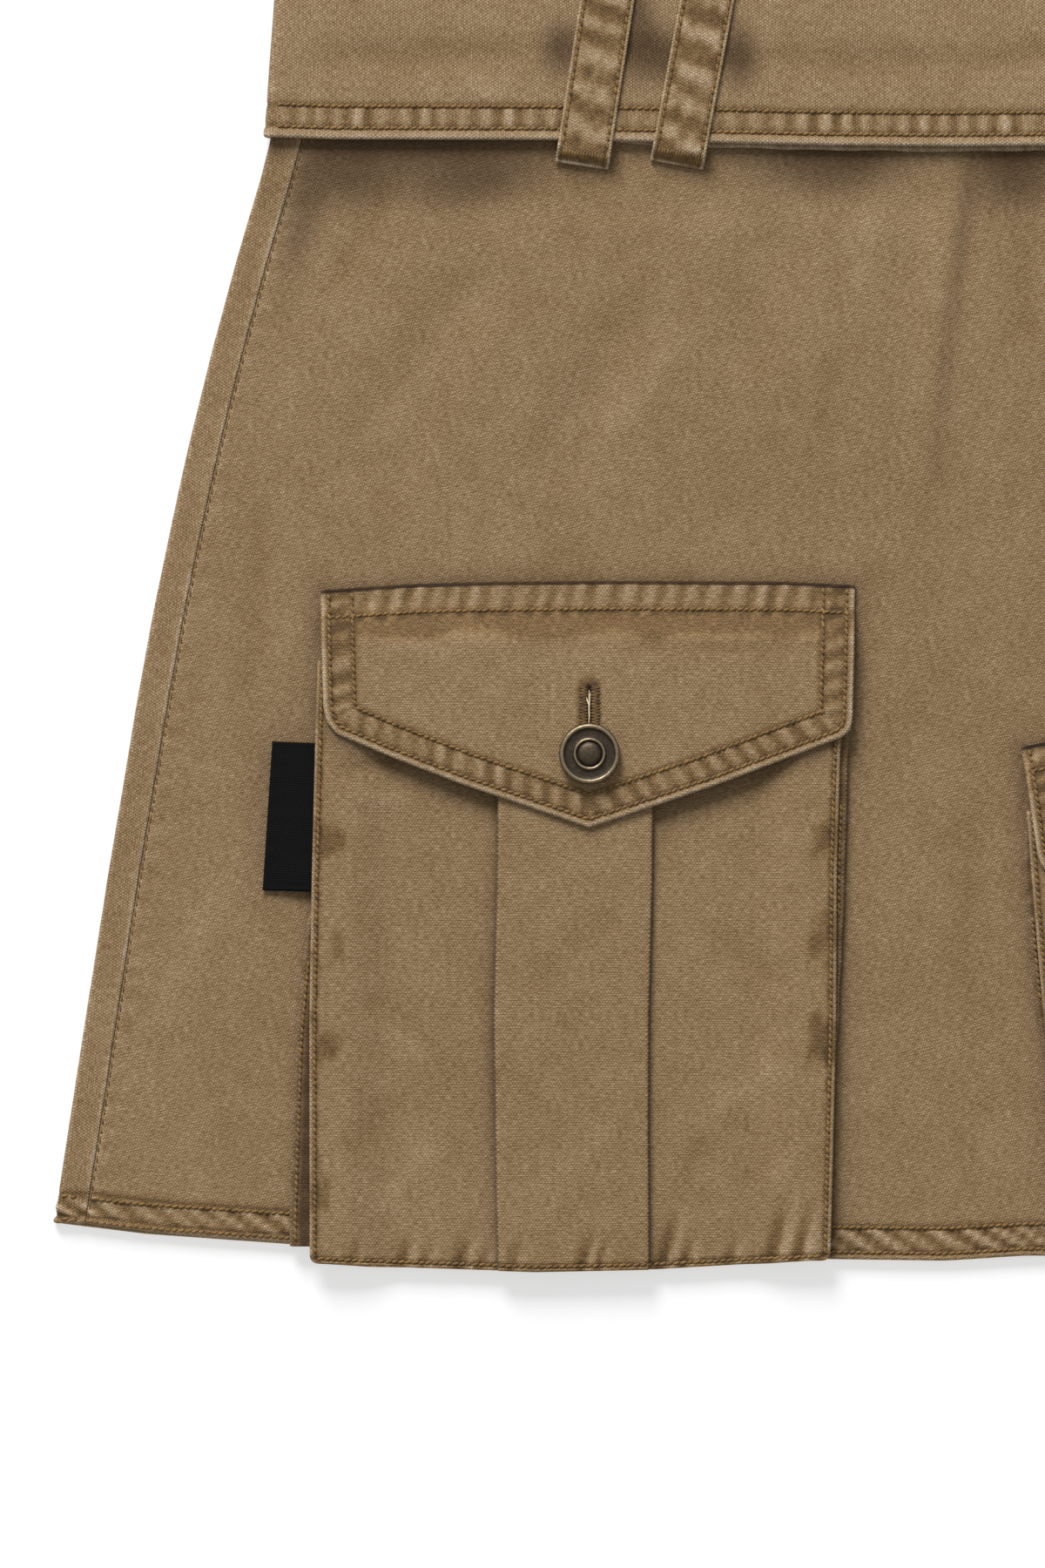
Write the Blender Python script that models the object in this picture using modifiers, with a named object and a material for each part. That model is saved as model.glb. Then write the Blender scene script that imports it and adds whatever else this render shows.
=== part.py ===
# Cargo mini skirt in washed canvas, lying flat on its back with the front up.
# +X runs to the right across the front, +Y to the waist and +Z up. The skirt rests on z = 0
# and the origin is under the middle of its outline. Sizes are in millimetres until they
# reach the meshes, which are in metres.
from math import cos, exp, hypot, pi, radians, sin, sqrt

import bmesh
import bpy

MM = 0.001

# Driving sizes of the cloth.
BODY_WALL = 1.2
POCKET_WALL = 1.0
SEAM_GAP = 0.3
LAYER = BODY_WALL + SEAM_GAP
POCKET_LAYER = POCKET_WALL + SEAM_GAP

# Driving sizes along the skirt.
TOP = 205.0
WAIST_SEAM = 190.0
HEM_CENTRE = -202.0
HEM_FADE = 120.0
SIDE_STRIP = 8.5
RAMP_START = 88.0
RAMP_END = 104.0

# Height along the skirt, half width of the body.
BODY_HALF_WIDTHS = (
    (-202.0, 250.0),
    (-192.0, 248.5),
    (-93.5, 233.2),
    (-45.0, 225.0),
    (-20.6, 220.6),
    (3.6, 215.6),
    (27.9, 210.2),
    (52.0, 204.2),
    (76.5, 197.6),
    (100.0, 190.6),
    (111.0, 187.8),
    (TOP, 181.6),
)
# Height along the skirt, half width of the fold-over band.
BAND_HALF_WIDTHS = (
    (106.0, 190.2),
    (150.0, 187.0),
    (TOP, 183.6),
)
# Place across the skirt, height of the hem.
HEM_LINE = (
    (-250.0, -191.6),
    (-240.0, -192.8),
    (-225.0, -194.6),
    (-181.0, -197.7),
    (-60.0, -201.2),
    (0.0, -202.0),
    (23.0, -200.6),
    (60.0, -200.8),
    (181.0, -197.7),
    (225.0, -194.6),
    (240.0, -192.8),
    (250.0, -191.6),
)
# Place across the skirt, height of the band's lower edge.
BAND_EDGE = (
    (-190.0, 111.7),
    (-108.0, 110.3),
    (-60.0, 108.6),
    (0.0, 106.9),
    (60.0, 108.6),
    (108.0, 110.3),
    (190.0, 111.7),
)
# Place across the skirt, how far the facing shows below the band's edge.
FACING_SHOWS = (
    (-183.0, -0.6),
    (-96.0, -0.4),
    (-80.0, 1.1),
    (0.0, 1.4),
    (80.0, 1.1),
    (96.0, -0.4),
    (183.0, -0.6),
)
FACING_DEPTH = 30.0
FACING_HALF_WIDTH = 183.0

# Heights of the middle of each layer above the ground.
BACK_Z = BODY_WALL / 2
FRONT_Z = BACK_Z + LAYER
LIFT_UNDER_BAND = LAYER
FACING_Z = FRONT_Z + LIFT_UNDER_BAND + (BODY_WALL + POCKET_WALL) / 2 + SEAM_GAP
BAND_FRONT_Z = FACING_Z + (BODY_WALL + POCKET_WALL) / 2 + SEAM_GAP
LOOP_Z = BAND_FRONT_Z + (BODY_WALL + POCKET_WALL) / 2 + SEAM_GAP
GUSSET_Z = FRONT_Z + (BODY_WALL + POCKET_WALL) / 2 + SEAM_GAP
POCKET_EDGE_Z = GUSSET_Z + 2 * POCKET_LAYER
POCKET_BASE_Z = GUSSET_Z
FLAP_Z = POCKET_EDGE_Z + POCKET_LAYER

# Air under the front panel, and its largest folds.
SWELL = 1.6
SWELL_BOTTOM = -6.0
SWELL_FULL = 60.0
SWELL_TOP = 84.0
SWELL_SIDE = 0.55
# Start x and y, end x and y, half width, height (negative for a trough).
FRONT_FOLDS = (
    (2.4, 104.0, -4.9, 4.0, 6.5, 2.4),
    (-85.0, 70.0, -112.0, 10.0, 8.0, -1.2),
    (-126.0, 82.0, -166.0, 6.0, 9.0, -1.1),
    (-46.0, 92.0, -58.0, 40.0, 8.0, -0.9),
    (38.0, 90.0, 50.0, 30.0, 8.0, -1.0),
    (92.0, 74.0, 118.0, 12.0, 8.0, -1.2),
    (132.0, 84.0, 168.0, 14.0, 9.0, -1.1),
)

# Belt loops: x and y of the middle of the lower end, lean of the strip in degrees.
LOOP_WIDTH = 15.0
BELT_LOOPS = (
    (-101.3, 102.8, 8.8),
    (-74.9, 103.0, 10.5),
    (74.9, 103.0, -10.5),
    (101.3, 102.8, -8.8),
)
LOOP_TOP = 202.5
# Distance up from a loop's lower end, share of the climb from the body to the band.
LOOP_CLIMB = (
    (0.0, 0.0),
    (1.2, 0.12),
    (3.0, 0.75),
    (4.2, 1.0),
)

# The pockets: x and y of the middle of the flap's top edge, tilt in degrees, scale of the
# pieces, and share of the full length below the pocket's top.
POCKETS = (
    {"name": "pocket_1", "x": -99.2, "y": -14.9, "tilt": 0.0, "scale": 1.0, "length": 1.0,
     "mirror": False},
    {"name": "pocket_2", "x": 89.5, "y": -50.7, "tilt": 6.5, "scale": 0.92, "length": 0.8,
     "mirror": True},
)
# In a pocket's own frame a runs to the right and b up from the flap's top edge.
POCKET_TOP = -20.0
POCKET_CORNER = 2.4
# Height b, a of the pocket's left side, a of its right side.
POCKET_SIDES = (
    (-190.0, -77.7, 66.3),
    (-20.0, -75.2, 70.9),
)
# Place a, height b of the pocket's lower edge.
POCKET_BOTTOM = (
    (-78.0, -187.6),
    (-60.0, -188.6),
    (-15.0, -190.1),
    (20.0, -189.4),
    (67.0, -186.9),
)
PLEAT_LEFT = -25.3
PLEAT_RIGHT = 17.4
PLEAT_UNDERLAY = 12.0
POCKET_EDGE_FLAT = 9.0
POCKET_EDGE_SLOPE = 24.0

# Flap: a and b along its top edge, and along its sides and lower edge.
FLAP_TOP = (
    (-74.9, -0.9),
    (-47.7, 0.9),
    (5.7, 2.1),
    (54.3, 1.8),
    (74.9, 0.9),
)
FLAP_BOTTOM = (
    (-74.0, -32.4),
    (-72.9, -36.3),
    (-70.1, -39.2),
    (-0.1, -65.7),
    (69.6, -40.7),
    (72.5, -39.0),
    (73.2, -35.8),
)
FLAP_CLIMB_START = 3.0
FLAP_CLIMB_LENGTH = 12.5

# Gussets: height b, how far the fold stands outside the pocket's edge.
GUSSET_FULL = (
    (-183.0, 5.5),
    (-176.0, 5.5),
    (-127.0, 3.8),
    (-93.0, 1.2),
    (-86.0, -1.8),
    (-22.0, -1.8),
)
GUSSET_SLIM = (
    (-183.0, -1.5),
    (-150.0, -1.5),
    (-127.0, 0.4),
    (-90.0, 2.0),
    (-42.0, 2.2),
    (-22.0, 0.5),
)
GUSSET_INSIDE = 8.0

# Woven tab in the left edge of the left pocket: x and y of its corners.
TAB_TOP = ((-187.5, -57.3), (-174.9, -57.8))
TAB_BOTTOM = ((-190.2, -98.8), (-175.4, -99.2))
TAB_OUTER_Z = 3.5
TAB_INNER_Z = 4.6

# Tack button.
BUTTON_B = -45.9
SHANK_RADIUS = 2.0
EYE_RADIUS = 2.3
SLIT_WIDTH = 0.8
SLIT_TOP = -27.4
SHANK_BASE_Z = POCKET_EDGE_Z + POCKET_WALL / 2 + SEAM_GAP
BUTTON_BASE_Z = FLAP_Z + POCKET_WALL / 2 + SEAM_GAP
# Radius, height above the underside of the cap, from the middle of the top outwards.
BUTTON_CAP = (
    (0.0, 3.4),
    (1.8, 3.1),
    (2.9, 2.2),
    (3.6, 2.2),
    (4.1, 2.8),
    (4.6, 2.2),
    (7.0, 2.2),
    (7.7, 2.9),
    (8.3, 2.5),
    (8.5, 1.5),
    (8.1, 0.3),
    (7.2, 0.0),
)
BUTTON_STEPS = 28

# Colours, roughness and metallic value of the finishes.
CANVAS = ((0.275, 0.184, 0.105), 0.92, 0.0)
BLACK_WEAVE = ((0.006, 0.006, 0.007), 0.8, 0.0)
BRASS = ((0.13, 0.095, 0.055), 0.42, 0.9)


def lookup(table, key, column=1):
    """Read a column of a table at key, along straight lines between its rows."""
    if key <= table[0][0]:
        return table[0][column]
    for low, high in zip(table, table[1:]):
        if key <= high[0]:
            share = (key - low[0]) / (high[0] - low[0])
            return low[column] + share * (high[column] - low[column])
    return table[-1][column]


def smooth(share):
    """Ease a share from 0 to 1, level at both ends."""
    share = min(1.0, max(0.0, share))
    return share * share * (3.0 - 2.0 * share)


def span(start, end, parts):
    """List evenly spaced values from start to end."""
    return [start + (end - start) * step / parts for step in range(parts + 1)]


def make_collection(name):
    collection = bpy.data.collections.new(name)
    bpy.context.scene.collection.children.link(collection)
    return collection


def make_material(name, finish):
    colour, roughness, metallic = finish
    material = bpy.data.materials.new(name)
    material.use_nodes = True
    shader = material.node_tree.nodes["Principled BSDF"]
    shader.inputs["Base Color"].default_value = (*colour, 1.0)
    shader.inputs["Roughness"].default_value = roughness
    shader.inputs["Metallic"].default_value = metallic
    return material


def add_object(name, shape, finish, collection):
    """Turn a bmesh into an object of its own, with its own material."""
    mesh = bpy.data.meshes.new(name)
    shape.to_mesh(mesh)
    shape.free()
    if finish:
        mesh.materials.append(make_material(name, finish))
    piece = bpy.data.objects.new(name, mesh)
    collection.objects.link(piece)
    return piece


def make_cloth(name, columns, rows, place, wall, finish, collection):
    """Lay a grid through place(column, row) and give it the thickness of the cloth."""
    shape = bmesh.new()
    bmesh.ops.create_grid(shape, x_segments=len(columns) - 1, y_segments=len(rows) - 1, size=0.5)
    for vert in shape.verts:
        column = round((vert.co.x + 0.5) * (len(columns) - 1))
        row = round((vert.co.y + 0.5) * (len(rows) - 1))
        x, y, z = place(columns[column], rows[row])
        vert.co = (x * MM, y * MM, z * MM)
    bmesh.ops.remove_doubles(shape, verts=shape.verts, dist=0.01 * MM)
    piece = add_object(name, shape, finish, collection)
    thickness = piece.modifiers.new("Cloth thickness", "SOLIDIFY")
    thickness.thickness = wall * MM
    thickness.offset = 0.0
    return piece


def body_height(x, nominal):
    """Height along the skirt of a nominal row, which follows the hem lower down."""
    drop = lookup(HEM_LINE, x) - HEM_CENTRE
    fade = max(0.0, 1.0 - (nominal - HEM_CENTRE) / HEM_FADE)
    return nominal + drop * fade


def under_band(y):
    """Share of the lift that the band's back ply gives the body."""
    return smooth((y - RAMP_START) / (RAMP_END - RAMP_START))


def fold_lift(x, y):
    """Height that the folds of the front panel add at a point."""
    lift = 0.0
    for x0, y0, x1, y1, half_width, height in FRONT_FOLDS:
        length = hypot(x1 - x0, y1 - y0)
        along = ((x - x0) * (x1 - x0) + (y - y0) * (y1 - y0)) / length
        aside = ((x - x0) * (y1 - y0) - (y - y0) * (x1 - x0)) / length
        ends = smooth(along / (0.25 * length)) * smooth((length - along) / (0.25 * length))
        lift += height * ends * exp(-(aside / half_width) ** 2)
    return lift


def front_middle(x, y):
    """Height above the ground of the middle of the front panel."""
    reach = 1.0 - abs(x) / lookup(BODY_HALF_WIDTHS, y)
    air = smooth((y - SWELL_BOTTOM) / (SWELL_FULL - SWELL_BOTTOM))
    air *= 1.0 - smooth((y - SWELL_TOP) / (RAMP_END - SWELL_TOP))
    air *= smooth(reach / (1.0 - SWELL_SIDE))
    lift = SWELL * air + fold_lift(x, y)
    return FRONT_Z + LIFT_UNDER_BAND * under_band(y) + max(lift, 0.0)


def make_front_panel(collection):
    shares = [0.0, 0.02, 0.045, 0.07, 0.1, 0.14, 0.2, 0.28, 0.37, 0.46, 0.56, 0.66, 0.77, 0.89, 1.0]
    columns = [-share for share in reversed(shares[1:])] + shares
    rows = [-202, -190, -165, -135, -105, -75, -45, -20, -6, 6, 18, 30, 42, 54, 66, 76, 84, 90, 96,
            104, 112, 150, WAIST_SEAM]

    def place(share, nominal):
        y = body_height(share * lookup(BODY_HALF_WIDTHS, HEM_CENTRE), nominal)
        x = share * (lookup(BODY_HALF_WIDTHS, y) - SIDE_STRIP - SEAM_GAP)
        return x, y, front_middle(x, y)

    return make_cloth("front_panel", columns, rows, place, BODY_WALL, CANVAS, collection)


def make_back_panel(collection):
    """The back goes round both side folds and ends in a strip on the front."""
    fold = LAYER / 2
    columns = [("strip", -1, share) for share in (1.0, 0.0)]
    columns += [("fold", -1, angle) for angle in span(pi / 2, -pi / 2, 5)[1:]]
    columns += [("back", 1, share) for share in span(-1.0, 1.0, 14)[1:-1]]
    columns += [("fold", 1, angle) for angle in span(-pi / 2, pi / 2, 5)]
    columns += [("strip", 1, 1.0)]
    rows = [-202, -190, -160, -120, -75, -30, 10, 45, 70, 84, 90, 96, 104, 112, 150, WAIST_SEAM]

    def place(column, nominal):
        part, side, value = column
        across = side * value if part == "back" else side
        y = body_height(across * lookup(BODY_HALF_WIDTHS, HEM_CENTRE), nominal)
        half = lookup(BODY_HALF_WIDTHS, y)
        centre = half - BODY_WALL / 2 - fold
        low = BACK_Z + LIFT_UNDER_BAND * under_band(y)
        if part == "strip":
            inner = half - SIDE_STRIP
            return side * (centre + value * (inner - centre)), y, low + LAYER
        if part == "fold":
            return side * (centre + fold * cos(value)), y, low + fold + fold * sin(value)
        return across * centre, y, low

    return make_cloth("back_panel", columns, rows, place, BODY_WALL, CANVAS, collection)


def make_band(collection):
    """A ring round the body that turns over the top and ends at the waist seam inside."""
    front_turn = (BAND_FRONT_Z - FRONT_Z - LIFT_UNDER_BAND) / 2
    back_turn = LAYER / 2
    side_round = 1.8
    half_wall = BODY_WALL / 2
    columns = [("front", share) for share in span(-1.0, 1.0, 14)]
    columns += [("right", angle) for angle in span(pi / 2, -pi / 2, 6)[1:]]
    columns += [("back", share) for share in span(1.0, -1.0, 10)[1:]]
    columns += [("left", angle) for angle in span(-pi / 2, pi / 2, 6)[1:]]
    rows = [("outer", share) for share in (0.0, 0.1, 0.35, 0.7, 1.0)]
    rows += [("turn", angle) for angle in span(0.0, pi, 5)[1:]]
    rows += [("inner", share) for share in (0.5, 1.0)]

    def place(column, row):
        part, value = column
        stage, along = row
        angle = {"outer": 0.0, "turn": along, "inner": pi}[stage]
        front_z = BAND_FRONT_Z - front_turn * (1.0 - cos(angle))
        back_z = BACK_Z + back_turn * (1.0 - cos(angle))
        tall = (front_z - back_z) / 2
        wide = side_round - (side_round - back_turn) * (1.0 - cos(angle)) / 2
        lean = sin(value) if part in ("right", "left") else (1.0 if part == "front" else -1.0)
        turn = back_turn + (front_turn - back_turn) * (1.0 + lean) / 2
        side_turn = (front_turn + back_turn) / 2
        crest = TOP - half_wall - turn
        outward = cos(value) if part in ("right", "left") else 0.0

        def spot(y):
            middle = lookup(BAND_HALF_WIDTHS, y) - half_wall - side_turn * (1.0 - cos(angle)) - wide
            sign = {"right": 1.0, "left": -1.0}.get(part)
            return sign * (middle + wide * outward) if sign else value * middle

        if stage == "outer":
            low = lookup(BAND_EDGE, spot(lookup(BAND_EDGE, 0.0)))
            y = low + along * (crest - low)
        elif stage == "turn":
            y = crest + turn * sin(along)
        else:
            y = crest + along * (WAIST_SEAM + SEAM_GAP - crest)
        return spot(y), y, (front_z + back_z) / 2 + tall * lean

    return make_cloth("fold_over_band", columns, rows, place, BODY_WALL, CANVAS, collection)


def make_facing(collection):
    columns = span(-FACING_HALF_WIDTH, FACING_HALF_WIDTH, 24)
    rows = (0.0, 0.3, 1.0)

    def place(x, share):
        edge = lookup(BAND_EDGE, x)
        low = edge - lookup(FACING_SHOWS, x)
        return x, low + share * (edge + FACING_DEPTH - low), FACING_Z

    return make_cloth("band_facing", columns, rows, place, POCKET_WALL, CANVAS, collection)


def make_belt_loops(collection):
    body_z = FRONT_Z + LIFT_UNDER_BAND + (BODY_WALL + POCKET_WALL) / 2 + SEAM_GAP
    for number, (x, y, lean) in enumerate(BELT_LOOPS, start=1):
        length = (LOOP_TOP - y) / cos(radians(lean))
        rows = [distance for distance, _ in LOOP_CLIMB] + span(30.0, length, 3)

        def place(across, along):
            east = x + along * sin(radians(lean)) + across * cos(radians(lean))
            north = y + along * cos(radians(lean)) - across * sin(radians(lean))
            up = body_z + (LOOP_Z - body_z) * lookup(LOOP_CLIMB, along)
            return east, north, up

        columns = span(-LOOP_WIDTH / 2, LOOP_WIDTH / 2, 2)
        make_cloth(f"belt_loop_{number}", columns, rows, place, POCKET_WALL, CANVAS, collection)


def pocket_point(pocket, a, b):
    """Carry a point from a pocket's own frame to the skirt."""
    tilt = radians(pocket["tilt"])
    a *= pocket["scale"]
    b *= pocket["scale"]
    return pocket["x"] + a * cos(tilt) - b * sin(tilt), pocket["y"] + a * sin(tilt) + b * cos(tilt)


def body_point(pocket, a, b):
    """Carry a point of the pocket's body, whose length differs between the two pockets."""
    return pocket_point(pocket, a, POCKET_TOP + (b - POCKET_TOP) * pocket["length"])


def pocket_side(b, side):
    return lookup(POCKET_SIDES, b, 1 if side < 0 else 2)


def corner_inset(above):
    """How far the pocket's side steps in at its rounded lower corners."""
    if above >= POCKET_CORNER:
        return 0.0
    return POCKET_CORNER - sqrt(POCKET_CORNER ** 2 - (POCKET_CORNER - above) ** 2)


def make_pocket_front(pocket, collection):
    """A patch with a box pleat: the cloth goes under each side of the raised strip and back."""
    turn = POCKET_LAYER / 2
    columns = [("panel", -1, share) for share in (1.0, 0.82, 0.66, 0.52, 0.0)]
    columns += [("under", -1, 1.0)]
    columns += [("inner", -1, angle) for angle in span(-pi / 2, pi / 2, 4)]
    columns += [("outer", -1, angle) for angle in span(-pi / 2, pi / 2, 4)]
    columns += [("top", 1, 0.5)]
    columns += [("outer", 1, angle) for angle in span(pi / 2, -pi / 2, 4)]
    columns += [("inner", 1, angle) for angle in span(pi / 2, -pi / 2, 4)]
    columns += [("under", 1, 1.0)]
    columns += [("panel", 1, share) for share in (0.0, 0.52, 0.66, 0.82, 1.0)]
    rows = [0.0, 0.004, 0.0145, 0.06, 0.2, 0.4, 0.6, 0.8, 1.0]

    def across(column, b, above):
        part, side, value = column
        edge = pocket_side(b, side) - side * corner_inset(above)
        crease = PLEAT_LEFT if side < 0 else PLEAT_RIGHT
        base = POCKET_BASE_Z
        if part == "panel":
            a = crease + value * (edge - crease)
            inside = abs(edge - a)
            rise = 1.0 - smooth((inside - POCKET_EDGE_FLAT) / (POCKET_EDGE_SLOPE - POCKET_EDGE_FLAT))
            return a, base + (POCKET_EDGE_Z - base) * rise
        if part == "under":
            return crease - side * PLEAT_UNDERLAY * 0.5, base
        if part == "inner":
            a = crease - side * (PLEAT_UNDERLAY + turn * cos(value))
            return a, base + turn + turn * sin(value)
        if part == "outer":
            a = crease - side * turn * (1.0 - cos(value))
            return a, base + 3 * turn + turn * sin(value)
        return PLEAT_LEFT + value * (PLEAT_RIGHT - PLEAT_LEFT), base + 4 * turn

    def place(column, share):
        a, z = across(column, POCKET_TOP, POCKET_CORNER)
        low = lookup(POCKET_BOTTOM, a)
        b = low + share * (POCKET_TOP - low)
        a, z = across(column, b, b - low)
        x, y = body_point(pocket, a, b)
        return x, y, z

    name = pocket["name"] + "_front"
    return make_cloth(name, columns, rows, place, POCKET_WALL, CANVAS, collection)


def make_gusset(pocket, side, collection):
    """A bellows strip folded once, with its fold outwards, between the pocket and the body."""
    turn = POCKET_LAYER / 2
    word = "left" if side < 0 else "right"
    table = GUSSET_FULL if (side < 0) != pocket["mirror"] else GUSSET_SLIM
    columns = [("lower", 1.0), ("lower", 0.5)]
    columns += [("fold", angle) for angle in span(-pi / 2, pi / 2, 4)]
    columns += [("upper", 0.5), ("upper", 1.0)]
    rows = [row[0] for row in table] + [-60.0, -105.0]
    rows = sorted(set(rows))

    def place(column, b):
        part, value = column
        edge = pocket_side(b, side)
        outermost = edge + side * (lookup(table, b) - POCKET_WALL / 2)
        bend = outermost - side * turn
        inner = edge - side * GUSSET_INSIDE
        if part == "fold":
            a = bend + side * turn * cos(value)
            z = GUSSET_Z + turn + turn * sin(value)
        else:
            a = bend + value * (inner - bend)
            z = GUSSET_Z + (2 * turn if part == "upper" else 0.0)
        x, y = body_point(pocket, a, b)
        return x, y, z

    name = pocket["name"] + "_gusset_" + word
    return make_cloth(name, columns, rows, place, POCKET_WALL, CANVAS, collection)


def flap_height(b):
    climb = smooth((-b - FLAP_CLIMB_START) / FLAP_CLIMB_LENGTH)
    return GUSSET_Z + (FLAP_Z - GUSSET_Z) * climb


def make_cutter(name, shape, collection):
    cutter = add_object(name, shape, None, collection)
    cutter.hide_render = True
    cutter.display_type = "WIRE"
    return cutter


def cut(piece, cutter):
    boolean = piece.modifiers.new("Cut " + cutter.name, "BOOLEAN")
    boolean.operation = "DIFFERENCE"
    boolean.solver = "EXACT"
    boolean.object = cutter


def place_on_pocket(piece, pocket, b, z):
    x, y = pocket_point(pocket, 0.0, b)
    piece.location = (x * MM, y * MM, z * MM)
    piece.rotation_euler = (0.0, 0.0, radians(pocket["tilt"]))


def make_flap(pocket, collection, cutters):
    """A pointed flap, sewn down along its top, with a buttonhole above the button."""
    lower = list(FLAP_BOTTOM)
    stops = [lower[0], lower[1], lower[2]]
    stops += [(a, lookup(FLAP_BOTTOM, a)) for a in span(lower[2][0], lower[3][0], 7)[1:]]
    stops += [(a, lookup(FLAP_BOTTOM, a)) for a in span(lower[3][0], lower[4][0], 7)[1:]]
    stops += [lower[5], lower[6]]
    rows = [0.0, 0.25, 0.45, 0.6, 0.7, 0.8, 0.9, 1.0]
    left, right = stops[0][0], stops[-1][0]

    def place(stop, share):
        a, b = stop
        spread = (a - left) / (right - left)
        top_a = FLAP_TOP[0][0] + spread * (FLAP_TOP[-1][0] - FLAP_TOP[0][0])
        top_b = lookup(FLAP_TOP, top_a)
        a += share * (top_a - a)
        b += share * (top_b - b)
        x, y = pocket_point(pocket, a, b)
        return x, y, flap_height(b)

    name = pocket["name"] + "_flap"
    flap = make_cloth(name, stops, rows, place, POCKET_WALL, CANVAS, collection)

    eye_shape = bmesh.new()
    bmesh.ops.create_cone(eye_shape, cap_ends=True, segments=16, radius1=EYE_RADIUS * MM,
                          radius2=EYE_RADIUS * MM, depth=6.0 * MM)
    eye = make_cutter(pocket["name"] + "_eye", eye_shape, cutters)
    place_on_pocket(eye, pocket, BUTTON_B, FLAP_Z)

    slit_length = (SLIT_TOP - BUTTON_B) * pocket["scale"]
    slit_shape = bmesh.new()
    bmesh.ops.create_cube(slit_shape, size=1.0)
    bmesh.ops.scale(slit_shape, vec=(SLIT_WIDTH * MM, slit_length * MM, 6.0 * MM),
                    verts=slit_shape.verts)
    bmesh.ops.translate(slit_shape, vec=(0.0, slit_length / 2 * MM, 0.0), verts=slit_shape.verts)
    slit = make_cutter(pocket["name"] + "_slit", slit_shape, cutters)
    place_on_pocket(slit, pocket, BUTTON_B, FLAP_Z)

    cut(flap, eye)
    cut(flap, slit)
    return flap


def make_button(pocket, collection):
    """A turned tack button: its cap lies on the flap and its shank stands on the pleat."""
    shank = BUTTON_BASE_Z - SHANK_BASE_Z
    profile = list(BUTTON_CAP) + [(SHANK_RADIUS, 0.0), (SHANK_RADIUS, -shank), (0.0, -shank)]
    shape = bmesh.new()
    verts = [shape.verts.new((radius * MM, 0.0, height * MM)) for radius, height in profile]
    for first, second in zip(verts, verts[1:]):
        shape.edges.new((first, second))
    button = add_object(pocket["name"] + "_button", shape, BRASS, collection)
    turning = button.modifiers.new("Turned", "SCREW")
    turning.steps = BUTTON_STEPS
    turning.render_steps = BUTTON_STEPS
    turning.use_merge_vertices = True
    turning.merge_threshold = 0.00001
    turning.use_smooth_shade = True
    place_on_pocket(button, pocket, BUTTON_B, BUTTON_BASE_Z)
    return button


def make_tab(collection):
    columns = (0.0, 0.35, 0.7, 1.0)
    rows = (0.0, 0.5, 1.0)

    def place(across, up):
        corners = zip(TAB_BOTTOM[0] + TAB_BOTTOM[1], TAB_TOP[0] + TAB_TOP[1])
        left_x, left_y, right_x, right_y = [low + up * (high - low) for low, high in corners]
        x = left_x + across * (right_x - left_x)
        y = left_y + across * (right_y - left_y)
        return x, y, TAB_OUTER_Z + (TAB_INNER_Z - TAB_OUTER_Z) * smooth(across)

    return make_cloth("pocket_label", columns, rows, place, POCKET_WALL, BLACK_WEAVE, collection)


def main():
    for item in list(bpy.data.objects):
        bpy.data.objects.remove(item)
    skirt = make_collection("Mini skirt")
    cutters = make_collection("Cutters")
    make_back_panel(skirt)
    make_front_panel(skirt)
    make_band(skirt)
    make_facing(skirt)
    make_belt_loops(skirt)
    for pocket in POCKETS:
        make_pocket_front(pocket, skirt)
        make_gusset(pocket, -1, skirt)
        make_gusset(pocket, 1, skirt)
        make_flap(pocket, skirt, cutters)
        make_button(pocket, skirt)
    make_tab(skirt)


main()
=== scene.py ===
import bpy
import numpy as np
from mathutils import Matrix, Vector
from mathutils.bvhtree import BVHTree


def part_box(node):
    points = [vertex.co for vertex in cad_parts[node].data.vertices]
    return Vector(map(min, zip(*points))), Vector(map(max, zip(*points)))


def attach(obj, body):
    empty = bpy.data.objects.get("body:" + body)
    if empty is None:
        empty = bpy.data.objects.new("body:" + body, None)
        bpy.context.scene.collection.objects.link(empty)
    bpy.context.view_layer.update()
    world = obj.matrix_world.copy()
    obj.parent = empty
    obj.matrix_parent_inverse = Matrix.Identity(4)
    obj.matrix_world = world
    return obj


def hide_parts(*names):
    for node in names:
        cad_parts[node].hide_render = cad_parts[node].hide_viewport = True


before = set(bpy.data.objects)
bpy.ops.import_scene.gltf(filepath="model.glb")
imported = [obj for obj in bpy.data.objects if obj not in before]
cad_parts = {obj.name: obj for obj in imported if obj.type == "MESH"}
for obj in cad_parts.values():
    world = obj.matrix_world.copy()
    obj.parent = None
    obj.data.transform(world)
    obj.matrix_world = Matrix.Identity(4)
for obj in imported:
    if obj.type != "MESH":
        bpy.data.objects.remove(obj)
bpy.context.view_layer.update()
toMetres = 0.001


def nodeBox(node):
    low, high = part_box(node)
    return np.array(low) / toMetres, np.array(high) / toMetres


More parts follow.
